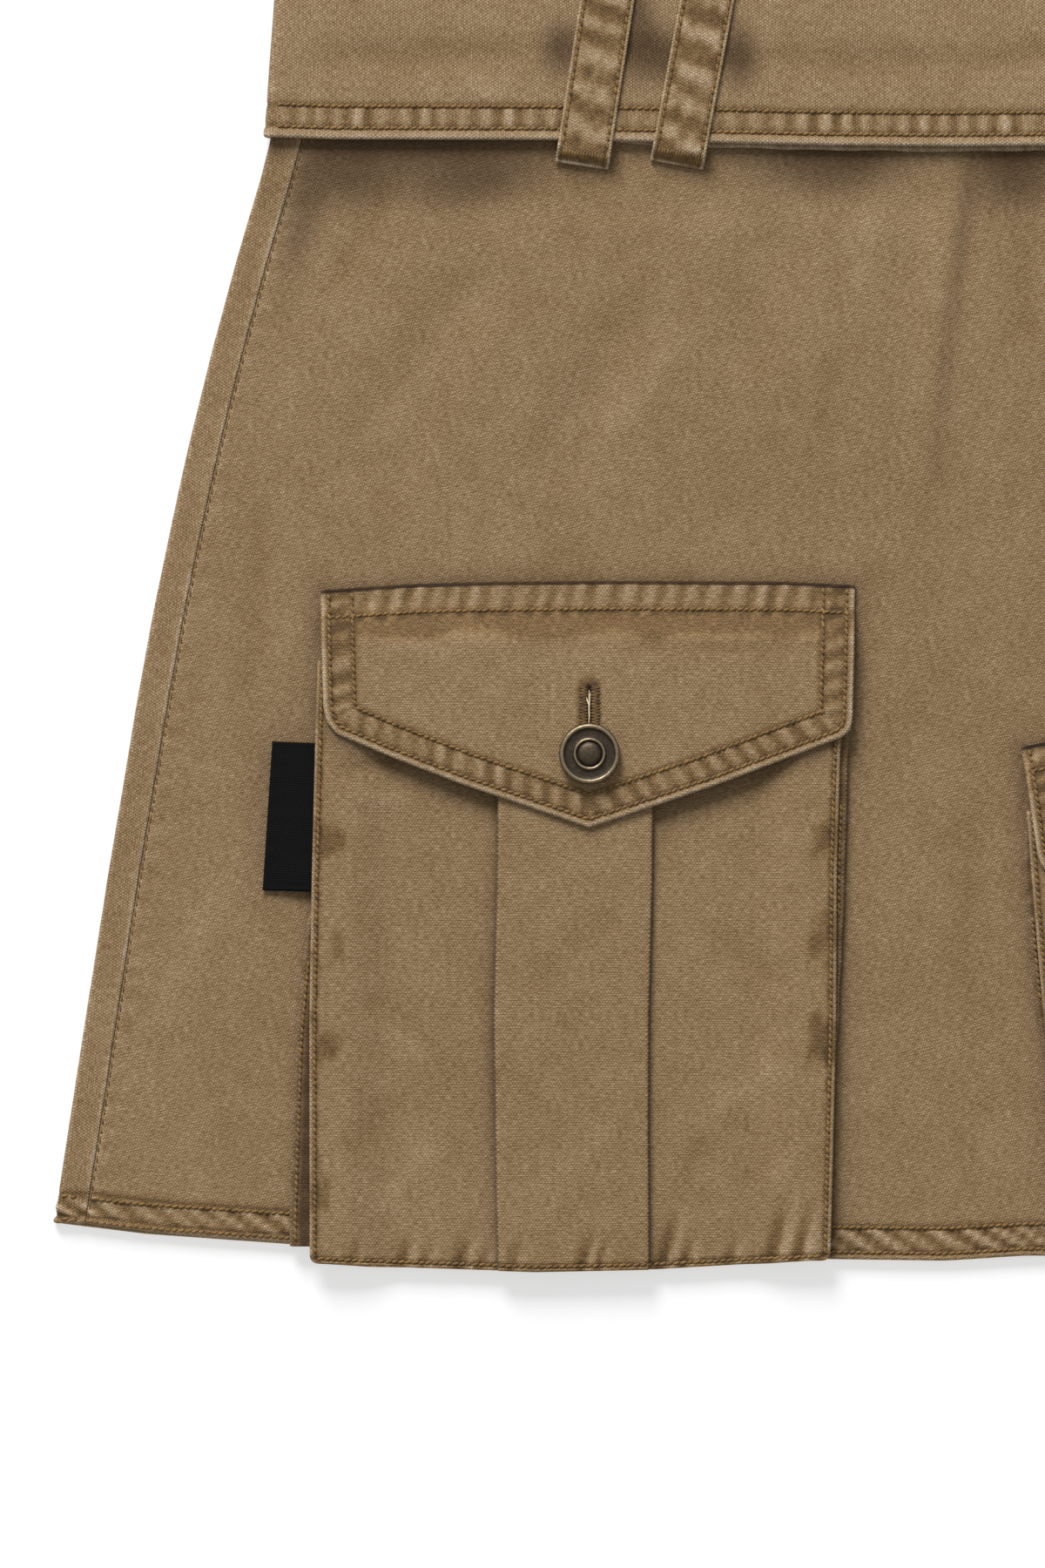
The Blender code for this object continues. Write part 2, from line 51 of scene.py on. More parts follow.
# Sizes that every cloth piece shares, with the heights of the middle of each layer read from the solids.
cloth = {
    "bodyWall": 1.2, "pocketWall": 1, "gap": 0.3, "layer": 1.5,
    "fineSteps": [0, 0.15, 0.4, 0.75, 1.1, 1.5, 1.9, 2.3, 2.7, 3.2, 3.9, 4.8, 5.8, 6.8, 7.5, 8, 8.5, 9, 9.5,
                  10.2, 11.2],
    "dent": 0.24,   # how deep a row of stitches pulls the cloth down, and how wide
    "dentWidth": 0.7,
    "ditch": 0.75,   # how unfaded the cloth stays beside a row, and how wide
    "ditchWidth": 0.9,
    "weaveColumn": 0.823,   # from one pale dot of the weave to the next in its row
    "weaveRow": 0.653,   # from one row of dots to the next, which stands half a dot aside
}
level = {
    "back": nodeBox("back_panel")[0][2] + cloth["bodyWall"] / 2,
    "front": nodeBox("front_panel")[0][2] + cloth["bodyWall"] / 2,
    "facing": nodeBox("band_facing")[1][2] - cloth["pocketWall"] / 2,
    "band": nodeBox("fold_over_band")[1][2] - cloth["bodyWall"] / 2,
    "loop": nodeBox("belt_loop_1")[1][2] - cloth["pocketWall"] / 2,
    "loopEnd": nodeBox("belt_loop_1")[0][2] + cloth["pocketWall"] / 2,
    "gusset": nodeBox("pocket_1_gusset_left")[0][2] + cloth["pocketWall"] / 2,
    "pocket": nodeBox("pocket_1_front")[1][2] - cloth["pocketWall"] / 2,
    "flap": nodeBox("pocket_1_flap")[1][2] - cloth["pocketWall"] / 2,
}
bodyTop = nodeBox("fold_over_band")[1][1]


# Rows for the right half, and before them the same rows for the left half: places and angles change sign.
def bothHalves(rows):
    left = [(-row[0], *row[1:4], *(-angle for angle in row[4:5]), *row[5:]) for row in rows[::-1] if row[0]]
    return left + rows


# Outlines of the skirt. Halves: height, half width. Hem and band edge: place across, height.
outline = {
    "bodyHalf": [(-202, 250), (-192, 248.5), (-93.5, 233.2), (-45, 225), (-20.6, 220.6), (3.6, 215.6),
                 (27.9, 210.2), (52, 204.2), (76.5, 197.6), (100, 190.6), (111, 187.8), (205, 181.6)],
    "bandHalf": [(106, 190.2), (150, 187), (205, 183.6)],
    "hem": [(-250, -191.6), (-240, -192.8), (-225, -194.6), (-181, -197.7), (-60, -201.2), (0, -202),
            (23, -200.6), (60, -200.8), (181, -197.7), (225, -194.6), (240, -192.8), (250, -191.6)],
    "bandEdge": bothHalves([(0, 108.1), (35, 108.4), (60, 109), (112, 109.9), (170, 110.1),
                            (190, 110.8)]),
    "hemCentre": -202, "hemFade": 120, "waistSeam": 190,
    "fineTop": 112,   # above this height the band hides the body, whose grid is wide there
    "typicalHalf": 215,   # a usual half width, from which the shares of the steps are worked out
    "sideStrip": 8.5, "rampStart": 88, "rampEnd": 104,
}


# Reads a table of rows, each a key and a value, along straight lines between the rows.
def readTable(table, key):
    rows = np.array(table)
    return np.interp(key, rows[:, 0], rows[:, 1])


# Eases a share from 0 to 1 with the cubic 3s^2 - 2s^3.
def ease(share):
    share = np.clip(share, 0, 1)
    return share * share * (3 - 2 * share)


# A bell curve: 1 in the middle, 1/e at one width.
def bell(distance, width):
    return np.exp(-(distance / width) ** 2)


# Soft noise from -1 to 1: random values on a square lattice of the given size, eased between its corners.
def cloud(x, y, size, seed):
    values = np.random.default_rng(seed).uniform(-1, 1, (64, 64))
    gx = np.asarray(x) / size + 1000
    gy = np.asarray(y) / size + 1000
    ix, iy = np.floor(gx).astype(int), np.floor(gy).astype(int)
    fx, fy = ease(gx - ix), ease(gy - iy)
    ix0, ix1, iy0, iy1 = ix % 64, (ix + 1) % 64, iy % 64, (iy + 1) % 64
    low = values[iy0, ix0] * (1 - fx) + values[iy0, ix1] * fx
    high = values[iy1, ix0] * (1 - fx) + values[iy1, ix1] * fx
    return low * (1 - fy) + high * fy


# An uneven wave along a seam: a cosine of the period whose phase and height wander.
def ripple(along, period, seed):
    wander = cloud(along, along * 0 + 3.7, period * 2.6, seed) * 2.4
    height = 0.75 + 0.45 * cloud(along, along * 0 + 9.1, period * 1.7, seed + 1)
    return np.cos(2 * np.pi * along / period + wander) * height


# Places from low to high: the given steps from both ends and even steps of about the given size between.
def spread(low, high, step, lowSteps=(0,), highSteps=(0,)):
    start, end = low + lowSteps[-1], high - highSteps[-1]
    count = max(int(np.ceil((end - start) / step)), 1)
    middle = np.linspace(start, end, count + 1)[1:-1]
    return np.concatenate([low + np.array(lowSteps), middle, high - np.array(highSteps)[::-1]])


# Distance from points to an open line of corners, and how far along it the nearest place is.
def measureEdge(x, y, line):
    best = np.full(np.shape(x), 1e9)
    along = np.zeros(np.shape(x))
    run = 0
    for (x0, y0), (x1, y1) in zip(line, line[1:]):
        length = np.hypot(x1 - x0, y1 - y0)
        share = np.clip(((x - x0) * (x1 - x0) + (y - y0) * (y1 - y0)) / length ** 2, 0, 1)
        distance = np.hypot(x - x0 - share * (x1 - x0), y - y0 - share * (y1 - y0))
        nearer = distance < best
        best = np.where(nearer, distance, best)
        along = np.where(nearer, run + share * length, along)
        run += length
    return best, along


# Moves an open line sideways, to its left for a positive distance, with mitred corners.
def shiftLine(line, distance):
    points = np.array(line, float)
    runs = np.diff(points, axis=0)
    runs /= np.linalg.norm(runs, axis=1)[:, None]
    sides = np.stack([-runs[:, 1], runs[:, 0]], 1)
    moved = [points[0] + sides[0] * distance]
    for place, before, after in zip(points[1:-1], sides, sides[1:]):
        middle = before + after
        moved.append(place + middle * distance * 2 / np.dot(middle, middle))
    moved.append(points[-1] + sides[-1] * distance)
    return [tuple(point) for point in moved]


# What a sewn edge does to the cloth near it: a rolled rim, a dent at each row of stitches, puckers between.
# Returns how far the face rises in mm and how faded it is, from -1 (unfaded) to 1 (worn pale).
def sewnEdge(distance, along, edge):
    first, last = edge["rows"][0], edge["rows"][-1]
    zone = edge.get("zone", last)
    lift = edge["roll"] * bell(distance - first * 0.45, first * 0.42)
    fade = edge["wear"] * bell(distance - first * 0.25, first * 0.4)
    for row in edge["rows"]:
        lift -= cloth["dent"] * bell(distance - row, cloth["dentWidth"])
        fade -= cloth["ditch"] * bell(distance - row, cloth["ditchWidth"])
    inside = ease((distance - edge.get("start", first * 0.8)) / 0.8) * ease((zone - distance) / 1.2)
    wave = np.tanh(1.7 * ripple(along + edge.get("slant", 0) * distance, edge["period"], edge["seed"]))
    wave *= 0.7 + 0.5 * cloud(along, distance, edge["period"] * 1.4, edge["seed"] + 2)
    lift += edge["pucker"] * wave * inside
    fade += (edge["blotch"] * wave - edge.get("stain", 0)) * inside
    return lift, fade


# Faces of four corners between the rows and columns of a grid of point numbers.
def gridQuads(index):
    return np.stack([index[:-1, :-1], index[:-1, 1:], index[1:, 1:], index[1:, :-1]], -1).reshape(-1, 4)


# The least of several distances at each place, which is the distance to a piece's nearest rim.
def least(*distances):
    return np.minimum.reduce(np.broadcast_arrays(*distances))


def addObject(name, data):
    thing = bpy.data.objects.new(name, data)
    bpy.context.scene.collection.objects.link(thing)
    return thing


def putValues(piece, label, values):
    store = piece.data.attributes.new(label, "FLOAT", "POINT")
    store.data.foreach_set("value", values.astype(np.float32))


# Makes a closed cloth shell from a grid of middle places: both faces lie half a wall off along the grid's
# normals, the outer one with its own relief, and the wall thins to a round rim at the open edges. The fade,
# the painted shade and the rim go on as point values. Gives the piece and its outer face.
def makeCloth(name, places, weave, rim, lift=0, fade=0, paintedShade=0, wall=cloth["pocketWall"], ring=False):
    middle = np.stack(np.broadcast_arrays(*places), -1)
    rows, columns = middle.shape[:2]
    if ring:
        padded = np.concatenate([middle[:, -1:], middle, middle[:, :1]], axis=1)
        across = padded[:, 2:] - padded[:, :-2]
    else:
        across = np.gradient(middle, axis=1)
    normals = np.cross(across, np.gradient(middle, axis=0))
    normals /= np.maximum(np.linalg.norm(normals, axis=2, keepdims=True), 1e-9)
    rim = np.broadcast_to(rim, (rows, columns))
    roundness = np.sqrt(1 - (1 - np.clip(rim / (wall * 0.5), 0, 1)) ** 2) * 0.88 + 0.12
    lift = np.broadcast_to(lift, (rows, columns)) * np.clip(rim / 0.3, 0, 1)
    outer = middle + normals * (wall / 2 * roundness + lift)[..., None]
    inner = middle - normals * (wall / 2 * roundness)[..., None]
    count = rows * columns
    index = np.arange(count).reshape(rows, columns)
    if ring:
        index = np.concatenate([index, index[:, :1]], axis=1)
    quads = gridQuads(index)
    borders = [index[0], index[-1, ::-1]]
    if not ring:
        borders += [index[::-1, 0], index[:, -1]]
    faces = [quads, quads[:, ::-1] + count]
    for border in borders:
        faces.append(np.stack([border[:-1], border[:-1] + count, border[1:] + count, border[1:]], -1))
    points = np.concatenate([outer.reshape(-1, 3), inner.reshape(-1, 3)]) * toMetres
    piece = makeMesh(name, points, np.concatenate(faces))
    uvs = np.stack([np.broadcast_to(part, (rows, columns)).ravel() for part in weave], -1)
    putUvs(piece, np.concatenate([uvs, uvs]))
    for label, values in (("fade", fade), ("paintedShade", paintedShade), ("rim", rim)):
        putValues(piece, label, np.tile(np.broadcast_to(values, (rows, columns)).ravel(), 2))
    finishPiece(piece, canvas)
    return piece, outer


# Puts points in metres and faces of four corners into a new smooth mesh object.
def makeMesh(name, points, faces):
    mesh = bpy.data.meshes.new(name)
    mesh.vertices.add(len(points))
    mesh.vertices.foreach_set("co", np.asarray(points, np.float32).ravel())
    mesh.loops.add(faces.size)
    mesh.loops.foreach_set("vertex_index", faces.astype(np.int32).ravel())
    mesh.polygons.add(len(faces))
    mesh.polygons.foreach_set("loop_start", np.arange(0, faces.size, faces.shape[1], dtype=np.int32))
    mesh.update(calc_edges=True)
    mesh.validate()
    mesh.shade_smooth()
    return addObject(name, mesh)


def putUvs(piece, uvs):
    corners = np.empty(len(piece.data.loops), np.int32)
    piece.data.loops.foreach_get("vertex_index", corners)
    layer = piece.data.uv_layers.new(name="weave")
    layer.data.foreach_set("uv", uvs[corners].astype(np.float32).ravel())


def finishPiece(piece, material):
    piece.data.materials.clear()
    piece.data.materials.append(material)
    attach(piece, "root")


# Turns flat places by the angle of the grain, for a piece's weave.
def grain(across, up, degrees):
    turn = np.radians(degrees)
    return across * np.cos(turn) + up * np.sin(turn), up * np.cos(turn) - across * np.sin(turn)


# Turns a hex colour such as a68b68 into linear light.
def hexColour(text):
    parts = np.array([int(text[place:place + 2], 16) / 255 for place in (0, 2, 4)])
    linear = np.where(parts <= 0.04045, parts / 12.92, ((parts + 0.055) / 1.055) ** 2.4)
    return (*linear.tolist(), 1)


# Adds a node with its settings, with values or links for its inputs, and gives one of its outputs.
def addNode(tree, kind, inputs, output=0, **settings):
    node = tree.nodes.new("ShaderNode" + kind)
    for key, value in settings.items():
        setattr(node, key, value)
    for key, value in inputs.items():
        if isinstance(value, bpy.types.NodeSocket):
            tree.links.new(value, node.inputs[key])
        else:
            node.inputs[key].default_value = value
    return node.outputs[output]


def addMath(tree, operation, *values):
    return addNode(tree, "Math", dict(enumerate(values)), operation=operation)


def addNoise(tree, vector, scale, detail, roughness=0.5, output=0):
    inputs = {"Vector": vector, "Scale": scale, "Detail": detail, "Roughness": roughness}
    return addNode(tree, "TexNoise", inputs, output)


# Reads a value that the piece's mesh carries.
def addValue(tree, label):
    return addNode(tree, "Attribute", {}, "Fac", attribute_name=label)


# Colour ramp through stops of a place and a hex colour.
def addRamp(tree, value, stops):
    ramp = addNode(tree, "ValToRGB", {"Fac": value})
    elements = ramp.node.color_ramp.elements
    elements.remove(elements[1])
    elements[0].position = stops[0][0]
    elements[0].color = hexColour(stops[0][1])
    for position, colour in stops[1:]:
        elements.new(position).color = hexColour(colour)
    return ramp


def newMaterial(name, shaderInputs):
    material = bpy.data.materials.new(name)
    material.use_nodes = True
    tree = material.node_tree
    shader = tree.nodes["Principled BSDF"]
    for key, value in shaderInputs.items():
        shader.inputs[key].default_value = value
    return material, tree, shader


# Gives a material its colour and its fine relief, whose depth is in metres.
def finishMaterial(tree, shader, colour, height, strength, depth):
    bump = addNode(tree, "Bump", {"Strength": strength, "Distance": depth, "Height": height})
    tree.links.new(colour, shader.inputs["Base Color"])
    tree.links.new(bump, shader.inputs["Normal"])


# Cotton canvas, pigment dyed, sewn and then washed: a plain weave of pale dots over darker gaps, bleached
# where it rubs and unfaded where a seam protected it, and darkened by painted shade where the piece
# carries it. Matt, with a little cotton fuzz.
def makeCanvas():
    material, tree, shader = newMaterial("Washed cotton canvas", {
        "Roughness": 0.92, "Sheen Weight": 0.08, "Sheen Roughness": 0.5, "Specular IOR Level": 0.25})
    uv = addNode(tree, "UVMap", {}, uv_map="weave")
    place = addNode(tree, "TexCoord", {}, "Object")
    fuzz = addNoise(tree, uv, 0.9, 2, output="Color")
    nudge = addNode(tree, "VectorMath", {0: fuzz, 1: (0.5, 0.5, 0.5)}, operation="SUBTRACT")
    nudged = addNode(tree, "VectorMath", {0: nudge, 1: (0.55, 0.55, 0), 2: uv}, operation="MULTIPLY_ADD")
    across, up = addNode(tree, "SeparateXYZ", {0: nudged}).node.outputs[:2]
    column = addMath(tree, "MULTIPLY", across, 2 * np.pi / cloth["weaveColumn"])
    row = addMath(tree, "MULTIPLY", up, np.pi / cloth["weaveRow"])
    dots = addMath(tree, "MULTIPLY", addMath(tree, "COSINE", column), addMath(tree, "COSINE", row))
    ribs = addMath(tree, "COSINE", addMath(tree, "MULTIPLY", row, 2))
    weave = addMath(tree, "MULTIPLY_ADD", ribs, 0.35, dots)

    # How bleached each place is, 0 to 1: the weave, slubs, washing clouds, and the piece's own fading.
    slub = addNoise(tree, uv, 0.55, 3, 0.7)
    mottle = addNoise(tree, place, 150, 5, 0.75)
    stretched = addNode(tree, "VectorMath", {0: uv, 1: (0.65, 2.3, 1)}, operation="MULTIPLY")
    strands = addNoise(tree, stretched, 1, 2, 0.6)
    rimWear = addNode(tree, "MapRange", {"Value": addValue(tree, "rim"), "From Min": 1.4, "From Max": 0.7,
                                         "To Min": 0, "To Max": 0.24})
    bleach = addMath(tree, "MULTIPLY_ADD", rimWear, mottle, -0.255)
    for part, weight in ((weave, 0.15), (strands, 0.9), (slub, 0.24), (mottle, 0.27),
                         (addValue(tree, "fade"), 0.34)):
        bleach = addMath(tree, "MULTIPLY_ADD", part, weight, bleach)
    faded = addRamp(tree, bleach, [(0, "45331c"), (0.28, "6a5232"), (0.46, "7f6748"), (0.6, "8e785c"),
                                   (0.75, "a08d73"), (1, "c0b19b")])
    # Painted shade: the piece's painted shade value mixes white towards 9c938c, and that multiplies the
    # cloth colour.
    paintedShadeTint = addNode(tree, "Mix", {0: addValue(tree, "paintedShade"), 6: (1, 1, 1, 1), 7: hexColour("9c938c")}, 2,
                   data_type="RGBA")
    shade = addNode(tree, "Mix", {0: 1, 6: faded, 7: paintedShadeTint}, 2, data_type="RGBA", blend_type="MULTIPLY")
    height = addMath(tree, "MULTIPLY_ADD", strands, 2, weave)
    finishMaterial(tree, shader, shade, height, 0.55, 0.00012)
    return material


# Antique brass, cast and tumbled: dark oxide in its recesses, rubbed bare metal on its rims and dome.
def makeBrass():
    material, tree, shader = newMaterial("Antique brass", {"Metallic": 0.85})
    place = addNode(tree, "TexCoord", {}, "Object")
    stains = addNoise(tree, place, 900, 4, 0.65)
    pits = addNode(tree, "TexVoronoi", {"Vector": place, "Scale": 1700})
    worn = addMath(tree, "MULTIPLY_ADD", stains, 1.3, -0.65)
    worn = addMath(tree, "ADD", worn, addValue(tree, "rubbed"))
    metal = addRamp(tree, worn, [(0, "3b332a"), (0.45, "54493a"), (1, "8f7f66")])
    rough = addNode(tree, "MapRange", {"Value": worn, "To Min": 0.6, "To Max": 0.42})
    tree.links.new(rough, shader.inputs["Roughness"])
    finishMaterial(tree, shader, metal, addMath(tree, "MULTIPLY_ADD", pits, 0.6, stains), 0.6, 0.0001)
    return material


# Black woven polyester tape: fine ribs across it, 0.5 mm apart, drawn at their real size.
def makeTape():
    material, tree, shader = newMaterial("Black woven tape", {"Roughness": 0.85, "Specular IOR Level": 0.08})
    uv = addNode(tree, "UVMap", {}, uv_map="weave")
    up = addNode(tree, "SeparateXYZ", {0: uv}, 1)
    ribs = addMath(tree, "COSINE", addMath(tree, "MULTIPLY", up, 2 * np.pi / 0.5))
    blend = addMath(tree, "MULTIPLY_ADD", ribs, 0.18, addNoise(tree, uv, 1.3, 3))
    black = addRamp(tree, blend, [(0, "060606"), (1, "111112")])
    finishMaterial(tree, shader, black, ribs, 0.5, 0.00008)
    return material


# Cotton sewing thread, washed with the skirt: uneven along its length, matt.
def makeThread(name, dark, pale):
    material, tree, shader = newMaterial(name, {"Roughness": 0.8, "Sheen Weight": 0.05})
    twist = addNoise(tree, addNode(tree, "TexCoord", {}, "Object"), 700, 2)
    tree.links.new(addRamp(tree, twist, [(0.3, dark), (0.75, pale)]), shader.inputs["Base Color"])
    return material


# Sewing thread is laid as short tubes, gathered here by name and made into one mesh for each group.
threads = {}
sewing = {"pitch": 1.85, "length": 1.95, "radius": 0.42, "proud": 0.12, "sink": 0.16, "jitter": 0.2,
          "slant": 0.3, "longPitch": 2.65}


def addThreads(group, x, y, z, radius):
    threads.setdefault(group, []).append((np.stack([x, y, z], -1), radius))


# Height finder of a cloth's outer face: it looks straight down, or up from below, at x and y.
def makeFinder(outer, below=False):
    rows, columns = outer.shape[:2]
    index = np.arange(rows * columns).reshape(rows, columns)
    tree = BVHTree.FromPolygons(outer.reshape(-1, 3).tolist(), gridQuads(index).tolist())
    start, way = (-50, 1) if below else (50, -1)

    def heights(x, y):
        hits = [tree.ray_cast((px, py, start), (0, 0, way))[0] for px, py in zip(x, y)]
        return np.array([hit[2] if hit is not None else np.nan for hit in hits])

    return heights


# Places at the given distances along an open line, as x and y, and the line's length.
def walkLine(line, distances):
    points = np.array(line, float)
    runs = np.concatenate([[0], np.cumsum(np.linalg.norm(np.diff(points, axis=0), axis=1))])
    x = np.interp(distances, runs, points[:, 0])
    y = np.interp(distances, runs, points[:, 1])
    return x, y, runs[-1]


# Cuts the given length off both ends of an open line.
def trimLine(line, cut):
    total = walkLine(line, [0])[2]
    x, y, _ = walkLine(line, np.linspace(cut, total - cut, 120))
    return list(zip(x, y))


# Sews one row: each stitch is four places along the line, the middle two proud of the cloth, the ends in it.
def sewRow(group, heights, line, seed, below=False, pitch=None, radius=None):
    pitch, radius = pitch or sewing["pitch"], radius or sewing["radius"]
    total = walkLine(line, [0])[2]
    count = max(int(total / pitch), 1)
    rng = np.random.default_rng(seed)
    starts = (np.arange(count) + 0.5) * total / count
    starts += rng.uniform(-1, 1, count) * sewing["jitter"] * 0.5
    lengths = pitch * sewing["length"] / sewing["pitch"] * (1 + rng.uniform(-1, 1, count) * sewing["jitter"])
    shares = np.array([-0.5, -0.2, 0.2, 0.5])
    distances = starts[:, None] + lengths[:, None] * shares
    x, y, _ = walkLine(line, distances.ravel())
    ahead, upward, _ = walkLine(line, distances.ravel() + 0.5)
    run = np.maximum(np.hypot(ahead - x, upward - y), 1e-6)
    aside = np.tile(shares * 2, count) * sewing["slant"]
    x, y = x - (upward - y) / run * aside, y + (ahead - x) / run * aside
    z = heights(x, y)
    way = -1 if below else 1
    rise = np.tile([-sewing["sink"], sewing["proud"], sewing["proud"], -sewing["sink"]], count) * way
    z = np.maximum(z + rise, sewing["radius"]) if below else z + rise
    keep = ~np.isnan(z.reshape(count, 4)).any(axis=1)
    addThreads(group, *(part.reshape(count, 4)[keep] for part in (x, y, z)), radius)


# Tubes of six sides round rows of four centres, thinner at both ends, closed with two quads at each end.
def makeThreads(name, group, material):
    allPoints, allFaces, start = [], [], 0
    for centres, radius in threads[group]:
        count, rings = centres.shape[:2]
        ways = np.gradient(centres, axis=1)
        ways /= np.maximum(np.linalg.norm(ways, axis=2, keepdims=True), 1e-9)
        sides = np.cross(ways, [0, 0, 1])
        sides /= np.maximum(np.linalg.norm(sides, axis=2, keepdims=True), 1e-9)
        ups = np.cross(sides, ways)
        angles = np.arange(6) * np.pi / 3
        thick = radius * np.where((np.arange(rings) % (rings - 1)) == 0, 0.55, 1)[None, :, None, None]
        ring = np.cos(angles)[:, None] * sides[:, :, None, :] + np.sin(angles)[:, None] * ups[:, :, None, :]
        points = centres[:, :, None, :] + thick * ring
        index = np.arange(count * rings * 6).reshape(count, rings, 6) + start
        after = np.roll(index, -1, axis=2)
        walls = np.stack([index[:, :-1], after[:, :-1], after[:, 1:], index[:, 1:]], -1).reshape(-1, 4)
        first, last = index[:, 0], index[:, -1]
        caps = [first[:, [3, 2, 1, 0]], first[:, [5, 4, 3, 0]], last[:, [0, 1, 2, 3]], last[:, [0, 3, 4, 5]]]
        allPoints.append(points.reshape(-1, 3))
        allFaces += [walls] + caps
        start += count * rings * 6
    piece = makeMesh(name, np.concatenate(allPoints) * toMetres, np.concatenate(allFaces))
    finishPiece(piece, material)


# Height along the skirt of a nominal row, which follows the hem lower down.
def bodyRow(across, nominal):
    drop = readTable(outline["hem"], across) - outline["hemCentre"]
    return nominal + drop * np.clip(1 - (nominal - outline["hemCentre"]) / outline["hemFade"], 0, 1)


# Share of the lift that the band's back ply gives the body.
def underBand(y):
    return ease((y - outline["rampStart"]) / (outline["rampEnd"] - outline["rampStart"]))


# Soft ridges and troughs: each is a bell across its line, eased in over the first and last quarter.
def creaseLift(x, y, creases):
    lift = np.zeros(np.shape(x))
    for x0, y0, x1, y1, halfWidth, height in creases:
        length = np.hypot(x1 - x0, y1 - y0)
        along = ((x - x0) * (x1 - x0) + (y - y0) * (y1 - y0)) / length
        aside = ((x - x0) * (y1 - y0) - (y - y0) * (x1 - x0)) / length
        ends = ease(along / (0.25 * length)) * ease((length - along) / (0.25 * length))
        lift += height * ends * bell(aside, halfWidth)
    return lift


# Painted shade in spots: ellipses with soft borders, turned by an angle, each darkening by its strength.
def paintShadeSpots(x, y, shadeSpots):
    paintedShade = np.zeros(np.shape(x))
    for cx, cy, halfAcross, halfAlong, degrees, strength in shadeSpots:
        across, along = grain(x - cx, y - cy, degrees)
        reach = np.hypot(across / halfAcross, along / halfAlong)
        paintedShade = 1 - (1 - paintedShade) * (1 - strength * bell(reach ** 1.25, 0.95))
    return paintedShade


# A sewn edge: its rows of stitches, the rolled rim and how worn it is, and the puckers between the rows.
hemEdge = {"rows": [2, 9], "roll": 0.3, "wear": 0.1, "period": 8, "slant": 1.5, "blotch": 1.2, "stain": 0.05}

# Front panel. Creases: start x and y, end x and y, half width, height (negative for a trough).
front = {
    "name": "front_cloth",
    "columnStep": 2.25, "rowStep": 2.15, "swell": 1.6, "swellBottom": -6, "swellFull": 60, "swellTop": 84,
    "swellSide": 0.55, "grain": 12.5,
    "folds": [
        (1, 104, -8, 0, 4.2, 0.8), (-85, 70, -112, 10, 8, -1.2), (-126, 82, -166, 6, 9, -1.1),
        (-46, 92, -58, 40, 8, -0.9), (38, 90, 50, 30, 8, -1), (92, 74, 118, 12, 8, -1.2),
        (132, 84, 168, 14, 9, -1.1),
    ],
    "fineCreases": [
        (-150, 104, -172, 66, 4, -0.30), (-70, 60, -96, 22, 3.5, 0.22), (-136, 60, -158, 20, 3, 0.2),
        (-30, 60, -36, 10, 4, -0.2), (-18, 96, -26, 62, 3.5, 0.25), (24, 96, 22, 50, 4, -0.3),
        (-188, 20, -196, -60, 3.5, -0.22), (-180, -60, -226, -150, 5, 0.2), (70, 98, 84, 60, 4, 0.25),
        (150, 50, 176, 4, 4, -0.25), (186, -20, 206, -110, 4, 0.22), (10, -60, 2, -150, 5, -0.2),
    ],
    # Painted shade below the band, beside the middle ridge and round the label: centre x and y, half across,
    # half along, degrees, strength.
    "shadeSpots": bothHalves([(148, 109, 44, 12, -2, 0.9), (166, 104, 11, 12, -30, 0.8),
                           (130, 100, 20, 8.5, -12, 0.75), (178, 92, 6, 22, 14, 0.6)]) + [
        (-32, 107, 29, 10, 4, 0.92), (-30, 102, 14, 7, 0, 0.6), (5.5, 90, 2.6, 20, -7, 0.4),
        (0.5, 52, 3, 34, -7, 0.26), (19, 103, 14, 14, 0, 0.95), (56, 107, 26, 11, -4, 0.9),
        (-184, -76, 12, 27, -3, 0.5),
    ],
    "paintedPocketShadow": 0.55,   # painted shadow: how dark the cloth is painted right beside a pocket, which stands above it
    "paintedPocketShadowReach": 3.2,
    "hem": dict(hemEdge, pucker=0.45, seed=11),
}


# Middle of the front panel: level over the back, up under the band, with air and folds between.
def frontMiddle(x, y):
    reach = 1 - np.abs(x) / readTable(outline["bodyHalf"], y)
    air = ease((y - front["swellBottom"]) / (front["swellFull"] - front["swellBottom"]))
    air *= 1 - ease((y - front["swellTop"]) / (outline["rampEnd"] - front["swellTop"]))
    air *= ease(reach / (1 - front["swellSide"]))
    lift = front["swell"] * air + creaseLift(x, y, front["folds"])
    return level["front"] + cloth["layer"] * underBand(y) + np.maximum(lift, 0)


# Uneven washing of a piece: large soft clouds and smaller ones, and a relief that goes with them.
def washed(x, y, seed):
    large = cloud(x, y, 46, seed)
    middle = cloud(x * 1.3, y, 17, seed + 1)
    small = cloud(x, y * 1.2, 6.5, seed + 2)
    fade = 0.05 * large + 0.05 * middle + 0.04 * small
    return 0.07 * middle + 0.03 * small, fade


